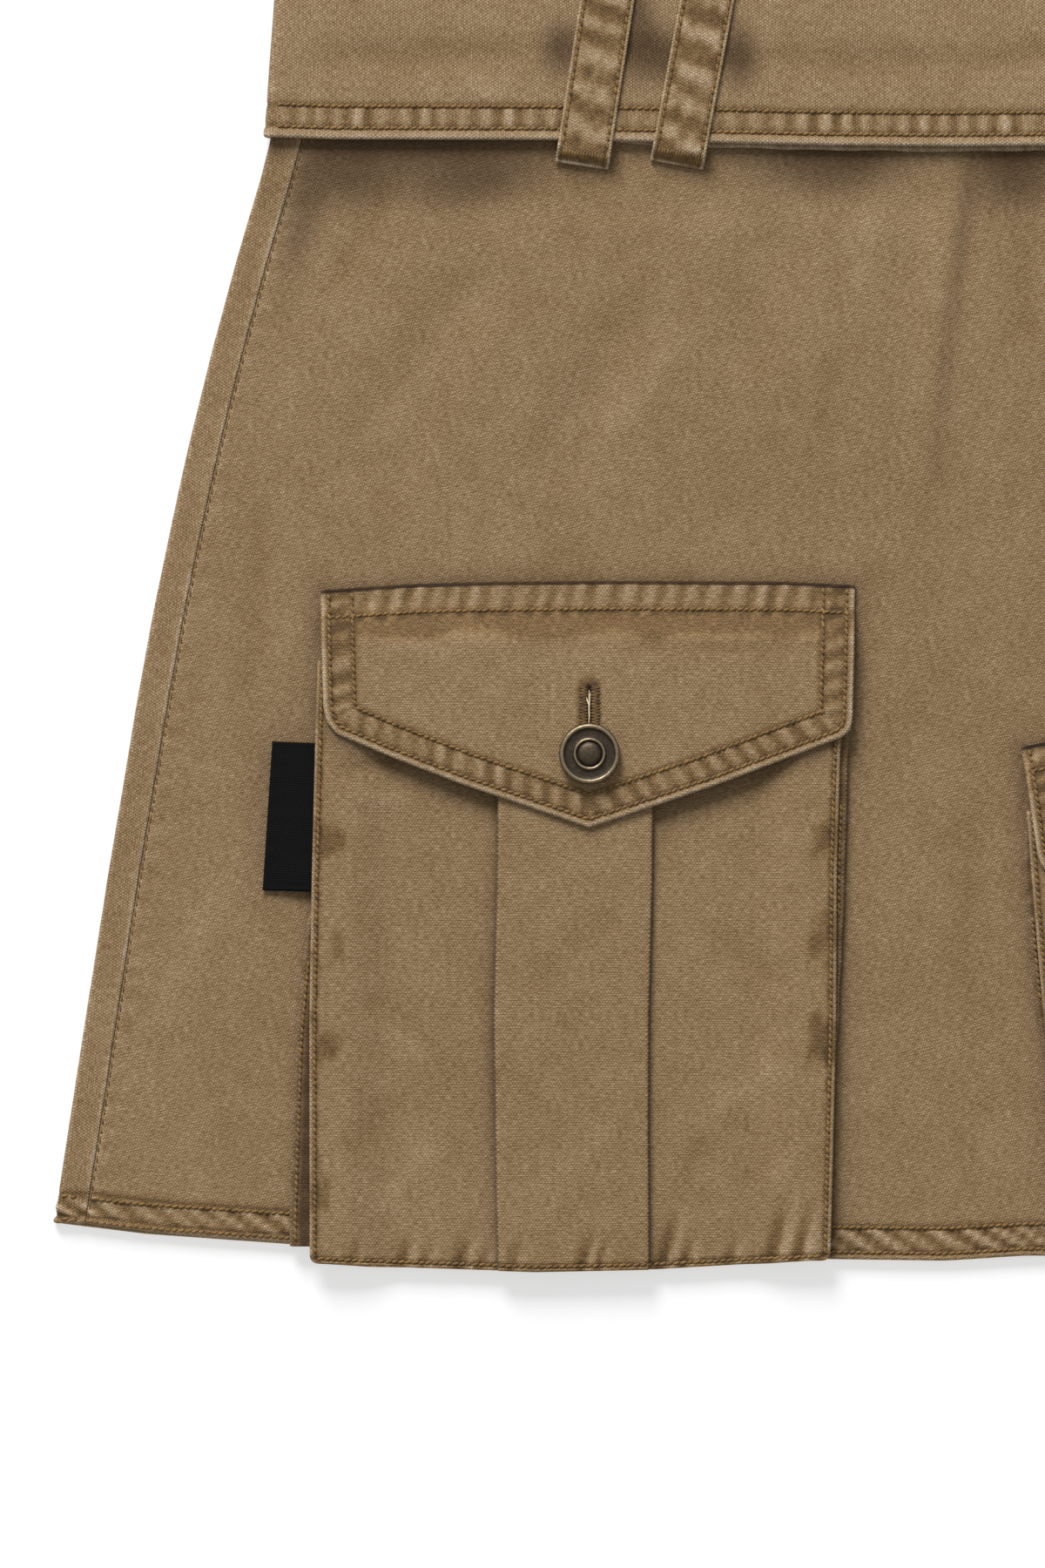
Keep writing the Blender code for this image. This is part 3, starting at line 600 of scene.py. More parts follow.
def makeFront():
    steps = np.array(cloth["fineSteps"])
    fine = steps[:12] / outline["typicalHalf"]
    shares = spread(-1, 1, front["columnStep"] / outline["typicalHalf"], fine, fine)
    low = outline["hemCentre"]
    nominals = np.concatenate([spread(low, outline["fineTop"], front["rowStep"], steps),
                               np.linspace(118, outline["waistSeam"], 9)])
    share, nominal = np.meshgrid(shares, nominals)
    y = bodyRow(share * outline["bodyHalf"][0][1], nominal)
    width = readTable(outline["bodyHalf"], y) - outline["sideStrip"] - cloth["gap"]
    x = share * width
    seam = (1 - np.abs(share)) * width
    hemHeight = nominal - low
    hemLift, hemFade = sewnEdge(hemHeight, x, front["hem"])
    lift, fade = washed(x, y, 21)
    lift += hemLift + creaseLift(x, y, front["fineCreases"])
    seamRipple = ripple(y, 7, 31)
    lift += -0.22 * bell(seam, 1) + 0.10 * seamRipple * bell(seam - 3.5, 2.5)
    fade += hemFade + 0.7 * creaseLift(x, y, front["fineCreases"])
    fade += 0.03 * creaseLift(x, y, front["folds"])
    fade += 0.2 * seamRipple * bell(seam - 2.5, 2.5) - 0.35 * bell(seam, 0.7)
    # Painted shade: the spots above, and a painted shadow beside each pocket that fades with distance from
    # its outline.
    paintedShade = paintShadeSpots(x, y, front["shadeSpots"])
    for pocket in pockets:
        sides = patch["sides"]
        around = [(sides[0][1], -188), (sides[-1][1], -30), flap["top"][0], flap["top"][2], flap["top"][-1],
                  (sides[-1][2], -30), (sides[0][2], -188)]
        distance, _ = measureEdge(x, y, [pocketPoint(pocket, *point) if point[1] > -20 else
                                         bodyPoint(pocket, *point) for point in around])
        paintedShade = np.maximum(paintedShade, front["paintedPocketShadow"] * np.exp(-distance / front["paintedPocketShadowReach"]))
    rim = least(seam, hemHeight, outline["waistSeam"] - nominal)
    weave = grain(x, y, front["grain"])
    piece, outer = makeCloth(front["name"], (x, y, frontMiddle(x, y)), weave, rim, lift, fade, paintedShade,
                             cloth["bodyWall"])
    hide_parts("front_panel")
    heights = makeFinder(outer)
    across = np.linspace(-239.5, 239.5, 120)
    for number, row in enumerate(front["hem"]["rows"]):
        line = list(zip(across, bodyRow(across, low + row)))
        sewRow("body", heights, line, 101 + number)
    for side in (-1, 1):
        along = np.linspace(low + 1, outline["fineTop"], 90)
        inset = readTable(outline["bodyHalf"], along) - outline["sideStrip"] - cloth["gap"] - 0.42
        sewRow("body", heights, list(zip(side * inset, along)), 105 + side, pitch=sewing["longPitch"],
               radius=0.26)


# Back panel: it goes round both side folds and ends in a strip on the front.
back = {
    "name": "back_cloth",
    "columnStep": 3.6, "rowStep": 3, "lean": 0.116,
    "creases": [
        (-60, 60, -84, -40, 7, -0.5), (20, 100, 8, 10, 6, -0.55), (90, 40, 120, -60, 8, -0.5),
        (-140, 90, -170, 0, 6, -0.45), (140, 100, 176, 20, 7, -0.5), (-20, -40, -46, -130, 7, -0.4),
        (60, -90, 84, -170, 6, -0.4), (-120, -70, -150, -160, 8, -0.4),
    ],
    "hem": dict(hemEdge, pucker=0.4, seed=17),
}


def makeBack():
    fold = cloth["layer"] / 2
    steps = np.array(cloth["fineSteps"])
    quarter = np.pi / 2
    inner = outline["sideStrip"] + 0.26   # the two plies of the side seam are drawn closed up
    strips = inner - cloth["bodyWall"] / 2 - fold
    stripShares = 1 - spread(0, strips, 0.6, steps[:10]) / strips
    backShares = spread(-1, 1, back["columnStep"] / outline["typicalHalf"])
    folds = np.linspace(quarter, -quarter, 9)
    columns = [(1, share, quarter) for share in stripShares]
    columns += [(1, 0, angle) for angle in folds[1:]]
    columns += [(share, 0, -quarter) for share in backShares[::-1][1:-1]]
    columns += [(-1, 0, angle) for angle in folds[::-1]]
    columns += [(-1, share, quarter) for share in stripShares[::-1][1:]]
    columns = np.array(columns)
    low = outline["hemCentre"]
    nominals = np.concatenate([spread(low, outline["fineTop"], back["rowStep"], steps),
                               np.linspace(120, outline["waistSeam"], 7)])
    across, nominal = np.meshgrid(columns[:, 0], nominals)
    stripShare, angle = columns[:, 1][None, :], columns[:, 2][None, :]
    y = bodyRow(across * outline["bodyHalf"][0][1], nominal)
    half = readTable(outline["bodyHalf"], y)
    centre = half - cloth["bodyWall"] / 2 - fold
    side = np.sign(across)
    x = across * centre + side * (stripShare * (half - inner - centre) + fold * np.cos(angle))
    z = level["back"] + cloth["layer"] * underBand(y) + fold * (1 + np.sin(angle))
    ridge = (1 - stripShare) * strips + np.where(stripShare > 0, 0, 4)
    facesUp = ease(1 + np.sin(angle)) * np.ones_like(y)
    hemHeight = nominal - low
    hemLift, hemFade = sewnEdge(hemHeight, x * np.where(facesUp > 0.5, 1, -1), back["hem"])
    lift, fade = washed(x, y, 41)
    dashes = ripple(y, 2.9, 43)
    lift += hemLift + 0.22 * bell(ridge - 1.1, 0.9)
    fade += hemFade + (0.25 + 0.3 * dashes) * bell(ridge - 0.5, 0.6) + 0.25 * bell(np.cos(angle) - 1, 0.4)
    under = creaseLift(x, y, back["creases"])
    lift = lift * facesUp + (np.minimum(lift - 0.25, 0) + under) * (1 - facesUp)
    fade += 0.5 * under * (1 - facesUp)
    rim = least((1 - stripShare) * strips + np.where(stripShare > 0, 0, 9), hemHeight,
                outline["waistSeam"] - nominal)
    weave = (y, x + back["lean"] * y * np.clip(x / 150, -1, 1))
    # Painted shade beside the band at both sides, on the faces that look up.
    paintedShade = paintShadeSpots(x, y, bothHalves([(190, 108, 9, 5, 0, 0.6)])) * facesUp
    piece, outer = makeCloth(back["name"], (x, y, z), weave, rim, lift, fade, paintedShade, cloth["bodyWall"])
    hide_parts("back_panel")
    above, under = makeFinder(outer), makeFinder(outer, below=True)
    for number, row in enumerate(back["hem"]["rows"]):
        for side in (-1, 1):
            line = [(side * place, bodyRow(side * place, low + row)) for place in (241.8, 245.5, 248.9)]
            sewRow("body", above, line, 111 + number)
        wide = np.linspace(-246, 246, 120)
        sewRow("back", under, list(zip(wide, bodyRow(wide, low + row))), 115 + number, below=True)


# Fold-over band: a ring that turns over at the top and ends at the waist seam inside.
band = {
    "name": "band_cloth",
    "frontStep": 1.35, "backStep": 3.2, "rowStep": 1.7, "sideRound": 1.8,
    "edge": {"rows": [3.1, 9.2], "roll": 0.34, "wear": 0.45, "period": 5.8, "slant": 0, "pucker": 0.3,
             "blotch": 0.85, "stain": 0.1, "seed": 51},
    # Painted shade between and beside the belt loops, and two faint lines along the band: centre x and y,
    # half across, half along, degrees, strength.
    "shadeSpots": bothHalves([(84, 134.5, 8.5, 9.5, -15, 1), (77.5, 132, 6, 5, 0, 0.85),
                           (86, 147, 4.5, 9, -10, 0.8), (107, 135.5, 6, 8, 0, 0.95),
                           (58, 133.5, 6, 9.5, -10, 0.95)]) + [
        (-150, 136, 34, 4, 0, 0.12), (-20, 134, 60, 4, 0, 0.12),
    ],
    "creases": [
        (-184, 132, -104, 134, 4.5, -0.35), (-96, 136, -62, 134, 5, -0.5), (-70, 133, 10, 131, 4.5, -0.35),
        (-6, 132, 78, 135, 4.5, -0.35), (60, 134, 98, 136, 5, -0.5), (104, 134, 184, 131, 4.5, -0.35),
        (-140, 126, -120, 122, 3, 0.25), (-40, 150, -20, 190, 5, -0.3), (-150, 160, -130, 196, 5, -0.3),
        (30, 156, 44, 198, 5, -0.3), (140, 150, 122, 190, 5, -0.3),
    ],
}


def makeBand():
    frontTurn = (level["band"] - level["front"] - cloth["layer"]) / 2
    backTurn = cloth["layer"] / 2
    halfWall = cloth["bodyWall"] / 2
    quarter = np.pi / 2
    typical = 187
    steps = np.array(cloth["fineSteps"])
    rounds = np.linspace(quarter, -quarter, 9)
    columns = [(share, 0, 1, 0) for share in spread(-1, 1, band["frontStep"] / typical)]
    columns += [(0, 1, np.sin(angle), np.cos(angle)) for angle in rounds[1:]]
    columns += [(share, 0, -1, 0) for share in spread(-1, 1, band["backStep"] / typical)[::-1][1:]]
    columns += [(0, -1, np.sin(angle), np.cos(angle)) for angle in rounds[::-1][1:-1]]
    value, sign, lean, outward = np.array(columns).T[:, None, :]
    tall = 95
    outerRows = spread(0, tall, band["rowStep"], steps) / tall
    rows = [(0, share, 0) for share in outerRows]
    rows += [(1, angle, angle) for angle in np.linspace(0, np.pi, 10)[1:]]
    rows += [(2, share, np.pi) for share in (0.2, 0.5, 0.8, 1)]
    stage, along, angle = np.array(rows).T[:, :, None]
    turned = 1 - np.cos(angle)
    frontZ = level["band"] - frontTurn * turned
    backZ = level["back"] + backTurn * turned
    wide = band["sideRound"] - (band["sideRound"] - backTurn) * turned / 2
    turn = backTurn + (frontTurn - backTurn) * (1 + lean) / 2
    sideTurn = (frontTurn + backTurn) / 2
    crest = bodyTop - halfWall - turn

    def spot(y):
        middle = readTable(outline["bandHalf"], y) - halfWall - sideTurn * turned - wide
        return sign * (middle + wide * outward) + value * middle

    edge = readTable(outline["bandEdge"], spot(np.full_like(turned, readTable(outline["bandEdge"], 0))))
    inside = bodyTop - 15 + cloth["gap"]
    y = np.where(stage == 0, edge + along * (crest - edge),
                 np.where(stage == 1, crest + turn * np.sin(along), crest + along * (inside - crest)))
    x = spot(y)
    z = (frontZ + backZ) / 2 + (frontZ - backZ) / 2 * lean
    shows = np.where(stage == 0, 1, np.where(stage == 1, np.cos(angle) * 0.5 + 0.5, 0)) * np.ones_like(x)
    facesUp = np.clip((1 + lean) / 2, 0, 1)
    rim = np.where(stage == 0, y - edge, np.where(stage == 2, y * 0 + (1 - along) * 12, 20))
    edgeLift, edgeFade = sewnEdge(np.where(stage == 0, y - edge, 50), x, band["edge"])
    lift, fade = washed(x, y, 61)
    fade += 0.1
    creases = creaseLift(x, y, band["creases"])
    lift = (lift + edgeLift + creases) * shows
    lift = lift * facesUp + np.minimum(lift - 0.2 * shows, 0) * (1 - facesUp)
    fade += edgeFade * shows + 0.5 * creases
    # Painted shade from the spots above, on the faces that look up.
    paintedShade = paintShadeSpots(x, y, band["shadeSpots"]) * facesUp
    piece, outer = makeCloth(band["name"], (x, y, z), (y, x), rim, lift, fade, paintedShade, cloth["bodyWall"], True)
    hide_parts("fold_over_band")
    above, under = makeFinder(outer), makeFinder(outer, below=True)
    across = np.linspace(-186, 186, 90)
    for number, row in enumerate(band["edge"]["rows"]):
        line = list(zip(across, readTable(outline["bandEdge"], across) + row))
        sewRow("band", above, line, 121 + number)
        sewRow("band", under, line, 125 + number, below=True)


# Second ply that shows under the lower edge of the band in front.
facing = {
    "name": "facing_cloth",
    "halfWidth": 183, "depth": 30,
    "shows": bothHalves([(0, 1.4), (80, 1.1), (96, -0.4), (183, -0.6)]),
}


def makeFacing():
    places = spread(-facing["halfWidth"], facing["halfWidth"], 2.2, (0, 0.3, 0.8), (0, 0.3, 0.8))
    steps = np.array([0, 0.15, 0.4, 0.8, 1.3, 2, 4, 8, 15, 24, 29, 30])
    x, step = np.meshgrid(places, steps / steps[-1])
    edge = readTable(outline["bandEdge"], x)
    shows = readTable(facing["shows"], x) + 0.25 * cloud(x, x * 0, 9, 71)
    low = edge - shows
    y = low + step * (edge + facing["depth"] - low)
    rim = least(y - low, facing["halfWidth"] - np.abs(x), edge + facing["depth"] - y)
    fade = 0.35 * ripple(x, 6, 72) + 0.2
    # The constant 0.15 is painted shade over the whole facing, which lies under the band's edge.
    piece, _ = makeCloth(facing["name"], (x, y, level["facing"]), (y, x), rim, 0, fade, 0.15)
    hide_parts("band_facing")


# Belt loops: x and y of the middle of the lower end, lean of the strip in degrees.
loops = {
    "width": 15,
    "top": bodyTop - 2.5,
    "places": [(-101.3, 102.8, 8.8), (-74.9, 103, 10.5), (74.9, 103, -10.5), (101.3, 102.8, -8.8)],
    "climb": [(0, 0), (1.2, 0.12), (3, 0.75), (4.2, 1)],
    "stitchInset": 1.35, "bandPeriod": 9.2, "tackStart": 0.9, "tackHeight": 2.9,
}


def makeLoop(number, x0, y0, lean):
    turn = np.radians(lean)

    def spot(a, b):
        return x0 + b * np.sin(turn) + a * np.cos(turn), y0 + b * np.cos(turn) - a * np.sin(turn)

    half = loops["width"] / 2
    length = (loops["top"] - y0) / np.cos(turn)
    edges = [0, 0.12, 0.3, 0.6, 0.95, 1.35, 1.75, 2.2, 2.8]
    acrosses = spread(-half, half, 0.9, edges, edges)
    alongs = spread(0, length, 1.25, (0, 0.15, 0.35, 0.7, 1.2, 1.7, 2.2, 2.7, 3.2, 3.7, 4.2, 4.8),
                    (0, 0.15, 0.4, 0.8))
    across, along = np.meshgrid(acrosses, alongs)
    x, y = spot(across, along)
    z = level["loopEnd"] + (level["loop"] - level["loopEnd"]) * readTable(loops["climb"], along)
    inset = half - np.abs(across)
    rim = least(inset, along, length - along)
    bands = ripple(along + across * 0.25, loops["bandPeriod"], 80 + number)
    small = cloud(across, along, 2.6, 90 + number)
    tackEnd = loops["tackStart"] + loops["tackHeight"]
    tack = ease((along - loops["tackStart"] + 0.4) / 0.5) * ease((tackEnd + 0.4 - along) / 0.5)
    lift = 0.16 * bell(inset - 0.5, 0.4) - 0.32 * bell(inset - loops["stitchInset"], 0.5)
    lift += (0.16 * bands + 0.08 * small) * (1 - tack) - 0.12 * tack
    fade = 0.12 * bell(inset - 0.3, 0.4) - 0.75 * bell(inset - loops["stitchInset"], 0.55)
    blotch = np.tanh(1.6 * bands + 1.1 * small)
    fade += (0.66 * blotch - 0.15) * ease((inset - 0.9) / 0.9) + 0.2 * small
    # Pale at the very end from wear; the broader brightening round 3 mm along is painted light, which
    # offsets the shade on the end's slope up to the band.
    fade += 0.4 * bell(along - 0.3, 0.4) + 0.45 * bell(along - 3, 2)
    weave = grain(across, along, -15)
    piece, outer = makeCloth(f"belt_loop_{number}_cloth", (x, y, z), weave, rim, lift, fade)
    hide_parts(f"belt_loop_{number}")
    heights = makeFinder(outer)
    for side in (-1, 1):
        line = [spot(side * (half - loops["stitchInset"]), b) for b in np.linspace(5.2, length - 5.4, 12)]
        sewRow("loops", heights, line, 131 + number * 2 + side, pitch=2.2, radius=0.36)
    rng = np.random.default_rng(140 + number)
    for start in (loops["tackStart"], length - tackEnd):
        places = np.arange(-half + 1, half - 0.9, 0.4)
        slant = np.where(np.arange(len(places)) % 2 == 0, 0.2, -0.2)
        shares = np.array([0, 0.3, 0.7, 1])
        a = places[:, None] + slant[:, None] * (shares * 2 - 1) + rng.uniform(-0.06, 0.06, (len(places), 1))
        b = start + loops["tackHeight"] * shares + rng.uniform(-0.15, 0.15, (len(places), 1))
        px, py = spot(a, b)
        pz = heights(px.ravel(), py.ravel()).reshape(px.shape) + np.array([-0.1, 0.2, 0.2, -0.1])
        addThreads("loops", px, py, pz, 0.26)


# Patch pockets. In a pocket's own frame a runs to the right from its middle and b up from its flap's top.
pockets = [
    {"name": "pocket_1", "x": -99.2, "y": -14.9, "tilt": 0, "scale": 1, "length": 1, "mirror": False,
     "step": 1.35, "seed": 200},
    {"name": "pocket_2", "x": 89.5, "y": -50.7, "tilt": 6.5, "scale": 0.92, "length": 0.8, "mirror": True,
     "step": 1.9, "seed": 300},
]
patch = {
    "top": -20, "corner": 2.4,
    "sides": [(-190, -77.8, 67), (-120, -77.9, 68.7), (-79, -77.2, 68.9), (-40, -76.2, 70),
              (-20, -75.6, 70.4)],
    "bottom": [(-78, -187.6), (-60, -188.6), (-15, -190.1), (20, -189.4), (67, -186.9)],
    # Usual sizes, from which the shares of the steps are worked out.
    "panel": 50, "tall": 168,
    "pleatLeft": -25.3, "pleatRight": 17.4,
    # How far each crease of the pleat wanders: height, to the right by.
    "wanderLeft": [(-190, 0.2), (-165, -0.3), (-120, -0.9), (-80, 0), (-20, 0.4)],
    "wanderRight": [(-190, -1.1), (-150, -1.3), (-120, -1.2), (-80, -0.2), (-20, 0.3)],
    "underlay": 12, "edgeFlat": 9, "edgeSlope": 24,
    "sew": {"rows": [1.5], "zone": 3.2, "roll": 0.2, "wear": 0.05, "period": 9, "slant": 0.2, "pucker": 0.1,
            "blotch": 0.3, "stain": 0.2, "seed": 7},
    "bottomSew": {"rows": [1.4], "zone": 3, "roll": 0.2, "wear": -0.1, "period": 7, "slant": 0,
                  "pucker": 0.1, "blotch": 0.3, "stain": 0.2, "seed": 8},
    # Puckers above the lower edge: place, width, height, strength.
    "puckers": [(-66, 1.5, 11, 0.6), (-52, 1.8, 13, 0.7), (-46, 1.4, 9, 0.6), (-36, 2, 14, 0.8),
                (-30, 1.5, 10, 0.6), (-21.5, 1.5, 12, 0.6), (-2, 1.6, 14, 0.9), (2.6, 1.2, 13, 0.8),
                (20.5, 1.9, 19, 1), (26.5, 1.5, 12, 0.8), (39, 1.7, 11, 0.7), (51, 2.2, 22, 0.9),
                (58, 1.8, 19, 0.9)],
    # Soft creases in the panels, in the pocket's frame.
    "creases": [(-74, -52, -38, -44, 2.6, -0.35), (-70, -57, -50, -60, 3, 0.25),
                (-68, -118, -44, -132, 3, 0.2), (-72, -160, -50, -140, 3.5, -0.25),
                (-60, -178, -40, -150, 3, 0.22), (26, -92, 60, -112, 4, -0.25),
                (30, -150, 58, -128, 4, 0.22), (-20, -112, 12, -88, 4.5, -0.22),
                (-18, -170, 10, -150, 4, 0.2), (22, -174, 34, -150, 2.6, -0.25),
                (48, -170, 62, -150, 3, 0.2)],
}
pocketLayer = cloth["pocketWall"] + cloth["gap"]


# Carries points from a pocket's own frame to the skirt.
def pocketPoint(pocket, a, b):
    tilt = np.radians(pocket["tilt"])
    a, b = a * pocket["scale"], b * pocket["scale"]
    across, up = a * np.cos(tilt) - b * np.sin(tilt), a * np.sin(tilt) + b * np.cos(tilt)
    return pocket["x"] + across, pocket["y"] + up


# The same for the pocket's body, whose length differs between the two pockets.
def bodyPoint(pocket, a, b):
    return pocketPoint(pocket, a, patch["top"] + (b - patch["top"]) * pocket["length"])


# Where the pocket's left (side below nought) or right edge stands at a height.
def pocketSide(b, side):
    heights, left, right = np.array(patch["sides"]).T
    return np.where(np.asarray(side) < 0, np.interp(b, heights, left), np.interp(b, heights, right))


# A patch with a box pleat: the cloth goes under each side of the raised strip and back.
def makePocketFront(pocket):
    turn = pocketLayer / 2
    quarter = np.pi / 2
    steps = np.array(cloth["fineSteps"])
    panelShares = spread(0, patch["panel"], pocket["step"], steps[:14], (0, 0.4, 1)) / patch["panel"]
    rounds = np.linspace(-quarter, quarter, 7)
    left, right = patch["pleatLeft"], patch["pleatRight"]
    columns = []
    for side, crease in ((-1, left), (1, right)):
        half = [(side, crease, 1 - share, 0, level["gusset"], 1) for share in panelShares]
        half.append((side, crease, 0, -side * patch["underlay"] * 0.5, level["gusset"], 0))
        for angle in rounds:
            half.append((side, crease, 0, -side * (patch["underlay"] + turn * np.cos(angle)),
                         level["gusset"] + turn + turn * np.sin(angle), 0))
        for angle in rounds:
            half.append((side, crease, 0, -side * turn * (1 - np.cos(angle)),
                         level["gusset"] + 3 * turn + turn * np.sin(angle), 0 if angle < 0.3 else 1))
        columns.append(half)
    top = spread(left + turn, right - turn, pocket["step"], (0, 0.5, 1.2), (0, 0.5, 1.2))[1:-1]
    middle = [(-1, 0, 0, a, level["pocket"], 1) for a in top]
    side, crease, value, offset, base, shows = np.array(columns[0] + middle + columns[1][::-1]).T[:, None, :]
    lows = readTable(patch["bottom"], crease + value * (pocketSide(patch["top"], side) - crease) + offset)
    heightShares = spread(0, patch["tall"], pocket["step"], steps, (0, 0.4)) / patch["tall"]
    b = lows + heightShares[:, None] * (patch["top"] - lows)
    above = b - lows
    inset = patch["corner"] - np.sqrt(patch["corner"] ** 2 - np.clip(patch["corner"] - above, 0, None) ** 2)
    edge = pocketSide(b, side) - side * inset
    drift = np.where(side < 0, readTable(patch["wanderLeft"], b), readTable(patch["wanderRight"], b))
    within = np.where(value > 0, 1 - value, 1)
    mixing = np.clip((offset - left) / (right - left), 0, 1)
    topDrift = readTable(patch["wanderLeft"], b) * (1 - mixing) + readTable(patch["wanderRight"], b) * mixing
    drift = np.where(crease == 0, topDrift, drift * within)
    a = crease + value * (edge - crease) + offset + drift
    onPanel = (value > 0) * 1
    inside = np.where(value > 0, np.abs(edge - a), 60)   # 60: far from any edge
    panelRise = 1 - ease((inside - patch["edgeFlat"]) / (patch["edgeSlope"] - patch["edgeFlat"]))
    z = base + (level["pocket"] - level["gusset"]) * panelRise * onPanel
    x, y = bodyPoint(pocket, a, b)
    seed = pocket["seed"]
    sideLift, sideFade = sewnEdge(inside, b, dict(patch["sew"], seed=seed + 1))
    lowLift, lowFade = sewnEdge(above, a, dict(patch["bottomSew"], seed=seed + 2))
    lift, fade = washed(x, y, seed + 3)
    leftward, rightward = np.abs(a - drift - left), np.abs(a - drift - right)
    creases = creaseLift(a, b, patch["creases"])
    pucker = np.zeros_like(a)
    for spot, width, height, strength in patch["puckers"]:
        lean = a - spot - 0.25 * above
        wave = 0.8 * bell(lean - width, width) - 1.3 * bell(lean + 0.3 * width, width)
        pucker += strength * wave * ease((height - above) / height)
    patches = cloud(b, side * 5 + b * 0, 14, seed + 5) * 1.6 + cloud(b, a, 3.5, seed + 6) * 0.4
    patches = ease(patches * 1.6)
    patches *= ease((8.5 + 2.5 * cloud(b, a, 7, seed + 7) - inside) / 1.6)
    lift = (lift + sideLift + lowLift + 0.3 * pucker + creases - 0.08 * patches) * shows
    fade = fade + sideFade + lowFade + 1.15 * pucker + 0.6 * creases - 0.75 * patches
    # Painted shade: on the pleat's hidden plies, in thin lines beside both creases, more softly left of the
    # left crease, on the plies under the strip, and under the flap's lower edge.
    paintedShade = (1 - shows) * 0.9 + onPanel * (0.8 * np.exp(-leftward / 0.8) + 0.3 * np.exp(-rightward / 0.6))
    paintedShade += onPanel * 0.55 * np.exp(-leftward / 3) * (0.25 + 0.75 * bell(b + 122, 42))
    paintedShade = np.maximum(paintedShade, 0.9 * (1 - onPanel) * (base < level["pocket"] - 0.25))
    paintedShade = np.maximum(paintedShade, 0.35 * bell(readTable(flap["bottom"], a) - b - 1.5, 4) * onPanel)
    rim = least(inside, above, patch["top"] - b)
    piece, outer = makeCloth(pocket["name"] + "_front_cloth", (x, y, z), (a, b), rim, lift, fade, paintedShade)
    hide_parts(pocket["name"] + "_front")
    heights = makeFinder(outer)
    row = patch["sew"]["rows"][0]
    low = [(place, readTable(patch["bottom"], place) + row) for place in np.linspace(-75.6, 64.3, 24)]
    for side in (-1, 1):
        line = [bodyPoint(pocket, pocketSide(place, side) - side * row, place)
                for place in np.linspace(-185, patch["top"], 30)]
        sewRow(pocket["name"], heights, line, seed + 10 + side)
    sewRow(pocket["name"], heights, [bodyPoint(pocket, *point) for point in low], seed + 13)


# Bellows strips folded once, with the fold outwards: height b, how far it stands outside the pocket's edge.
gusset = {
    "full": [(-183, 5.5), (-176, 5.5), (-127, 3.8), (-93, 1.2), (-86, -1.8), (-22, -1.8)],
    "slim": [(-183, -1.5), (-150, -1.5), (-127, 0.4), (-90, 2), (-42, 2.2), (-22, 0.5)],
    "low": -183, "high": -22, "inside": 8, "row": 1.5,
}


def makeGusset(pocket, side):
    turn = pocketLayer / 2
    word = "left" if side < 0 else "right"
    table = gusset["full"] if (side < 0) != pocket["mirror"] else gusset["slim"]
    columns = [(share, 0, 0) for share in (1, 0.6, 0.3)]
    columns += [(0, np.cos(angle), np.sin(angle) + 1) for angle in np.linspace(-np.pi / 2, np.pi / 2, 8)]
    columns += [(share, 0, 2) for share in (0.05, 0.1, 0.15, 0.2, 0.26, 0.34, 0.45, 0.6, 0.8, 1)]
    if side > 0:
        columns = columns[::-1]
    value, outwards, up = np.array(columns).T[:, None, :]
    b = spread(gusset["low"], gusset["high"], 1.3, (0, 0.15, 0.4, 0.8), (0, 0.4))[:, None]
    edge = pocketSide(b, side)
    wander = 0.22 * cloud(b, b * 0 + side, 8, pocket["seed"] + 20)
    outermost = edge + side * (readTable(table, b) + wander - cloth["pocketWall"] / 2)
    bend = outermost - side * turn
    inner = edge - side * gusset["inside"]
    a = bend + side * turn * outwards + value * (inner - bend)
    z = level["gusset"] + turn * up
    x, y = bodyPoint(pocket, a, b)
    fromFold = np.abs(outermost - a) + cloth["pocketWall"] / 2
    rim = least(b - gusset["low"], gusset["high"] - b, np.abs(a - inner))
    wave = ripple(b, 9, pocket["seed"] + 22)
    fade = 0.35 * bell(fromFold - 0.5, 0.6) - 0.35 * bell(fromFold - gusset["row"], 0.5) + 0.3 * wave - 0.3
    lift = (0.05 * wave - 0.2 * bell(fromFold - gusset["row"], 0.5)) * (up > 1.9)
    name = f"{pocket['name']}_gusset_{word}"
    # Painted shade over the whole strip, half as strong at the fold and its row of stitches as further in.
    paintedShade = 0.5 + 0.5 * ease((fromFold - gusset["row"] - 0.4) / 1.4)
    piece, outer = makeCloth(name + "_cloth", (x, y, z), (a, b), rim, lift, fade, paintedShade)
    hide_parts(name)
    heights = makeFinder(outer)
    places = np.linspace(-181.5, -60, 40)
    reach = readTable(table, places)
    line = [bodyPoint(pocket, pocketSide(place, side) + side * (out - gusset["row"]), place)
            for place, out in zip(places, reach) if out > 1.9]
    if len(line) > 2:
        sewRow(pocket["name"], heights, line, pocket["seed"] + 25 + side)


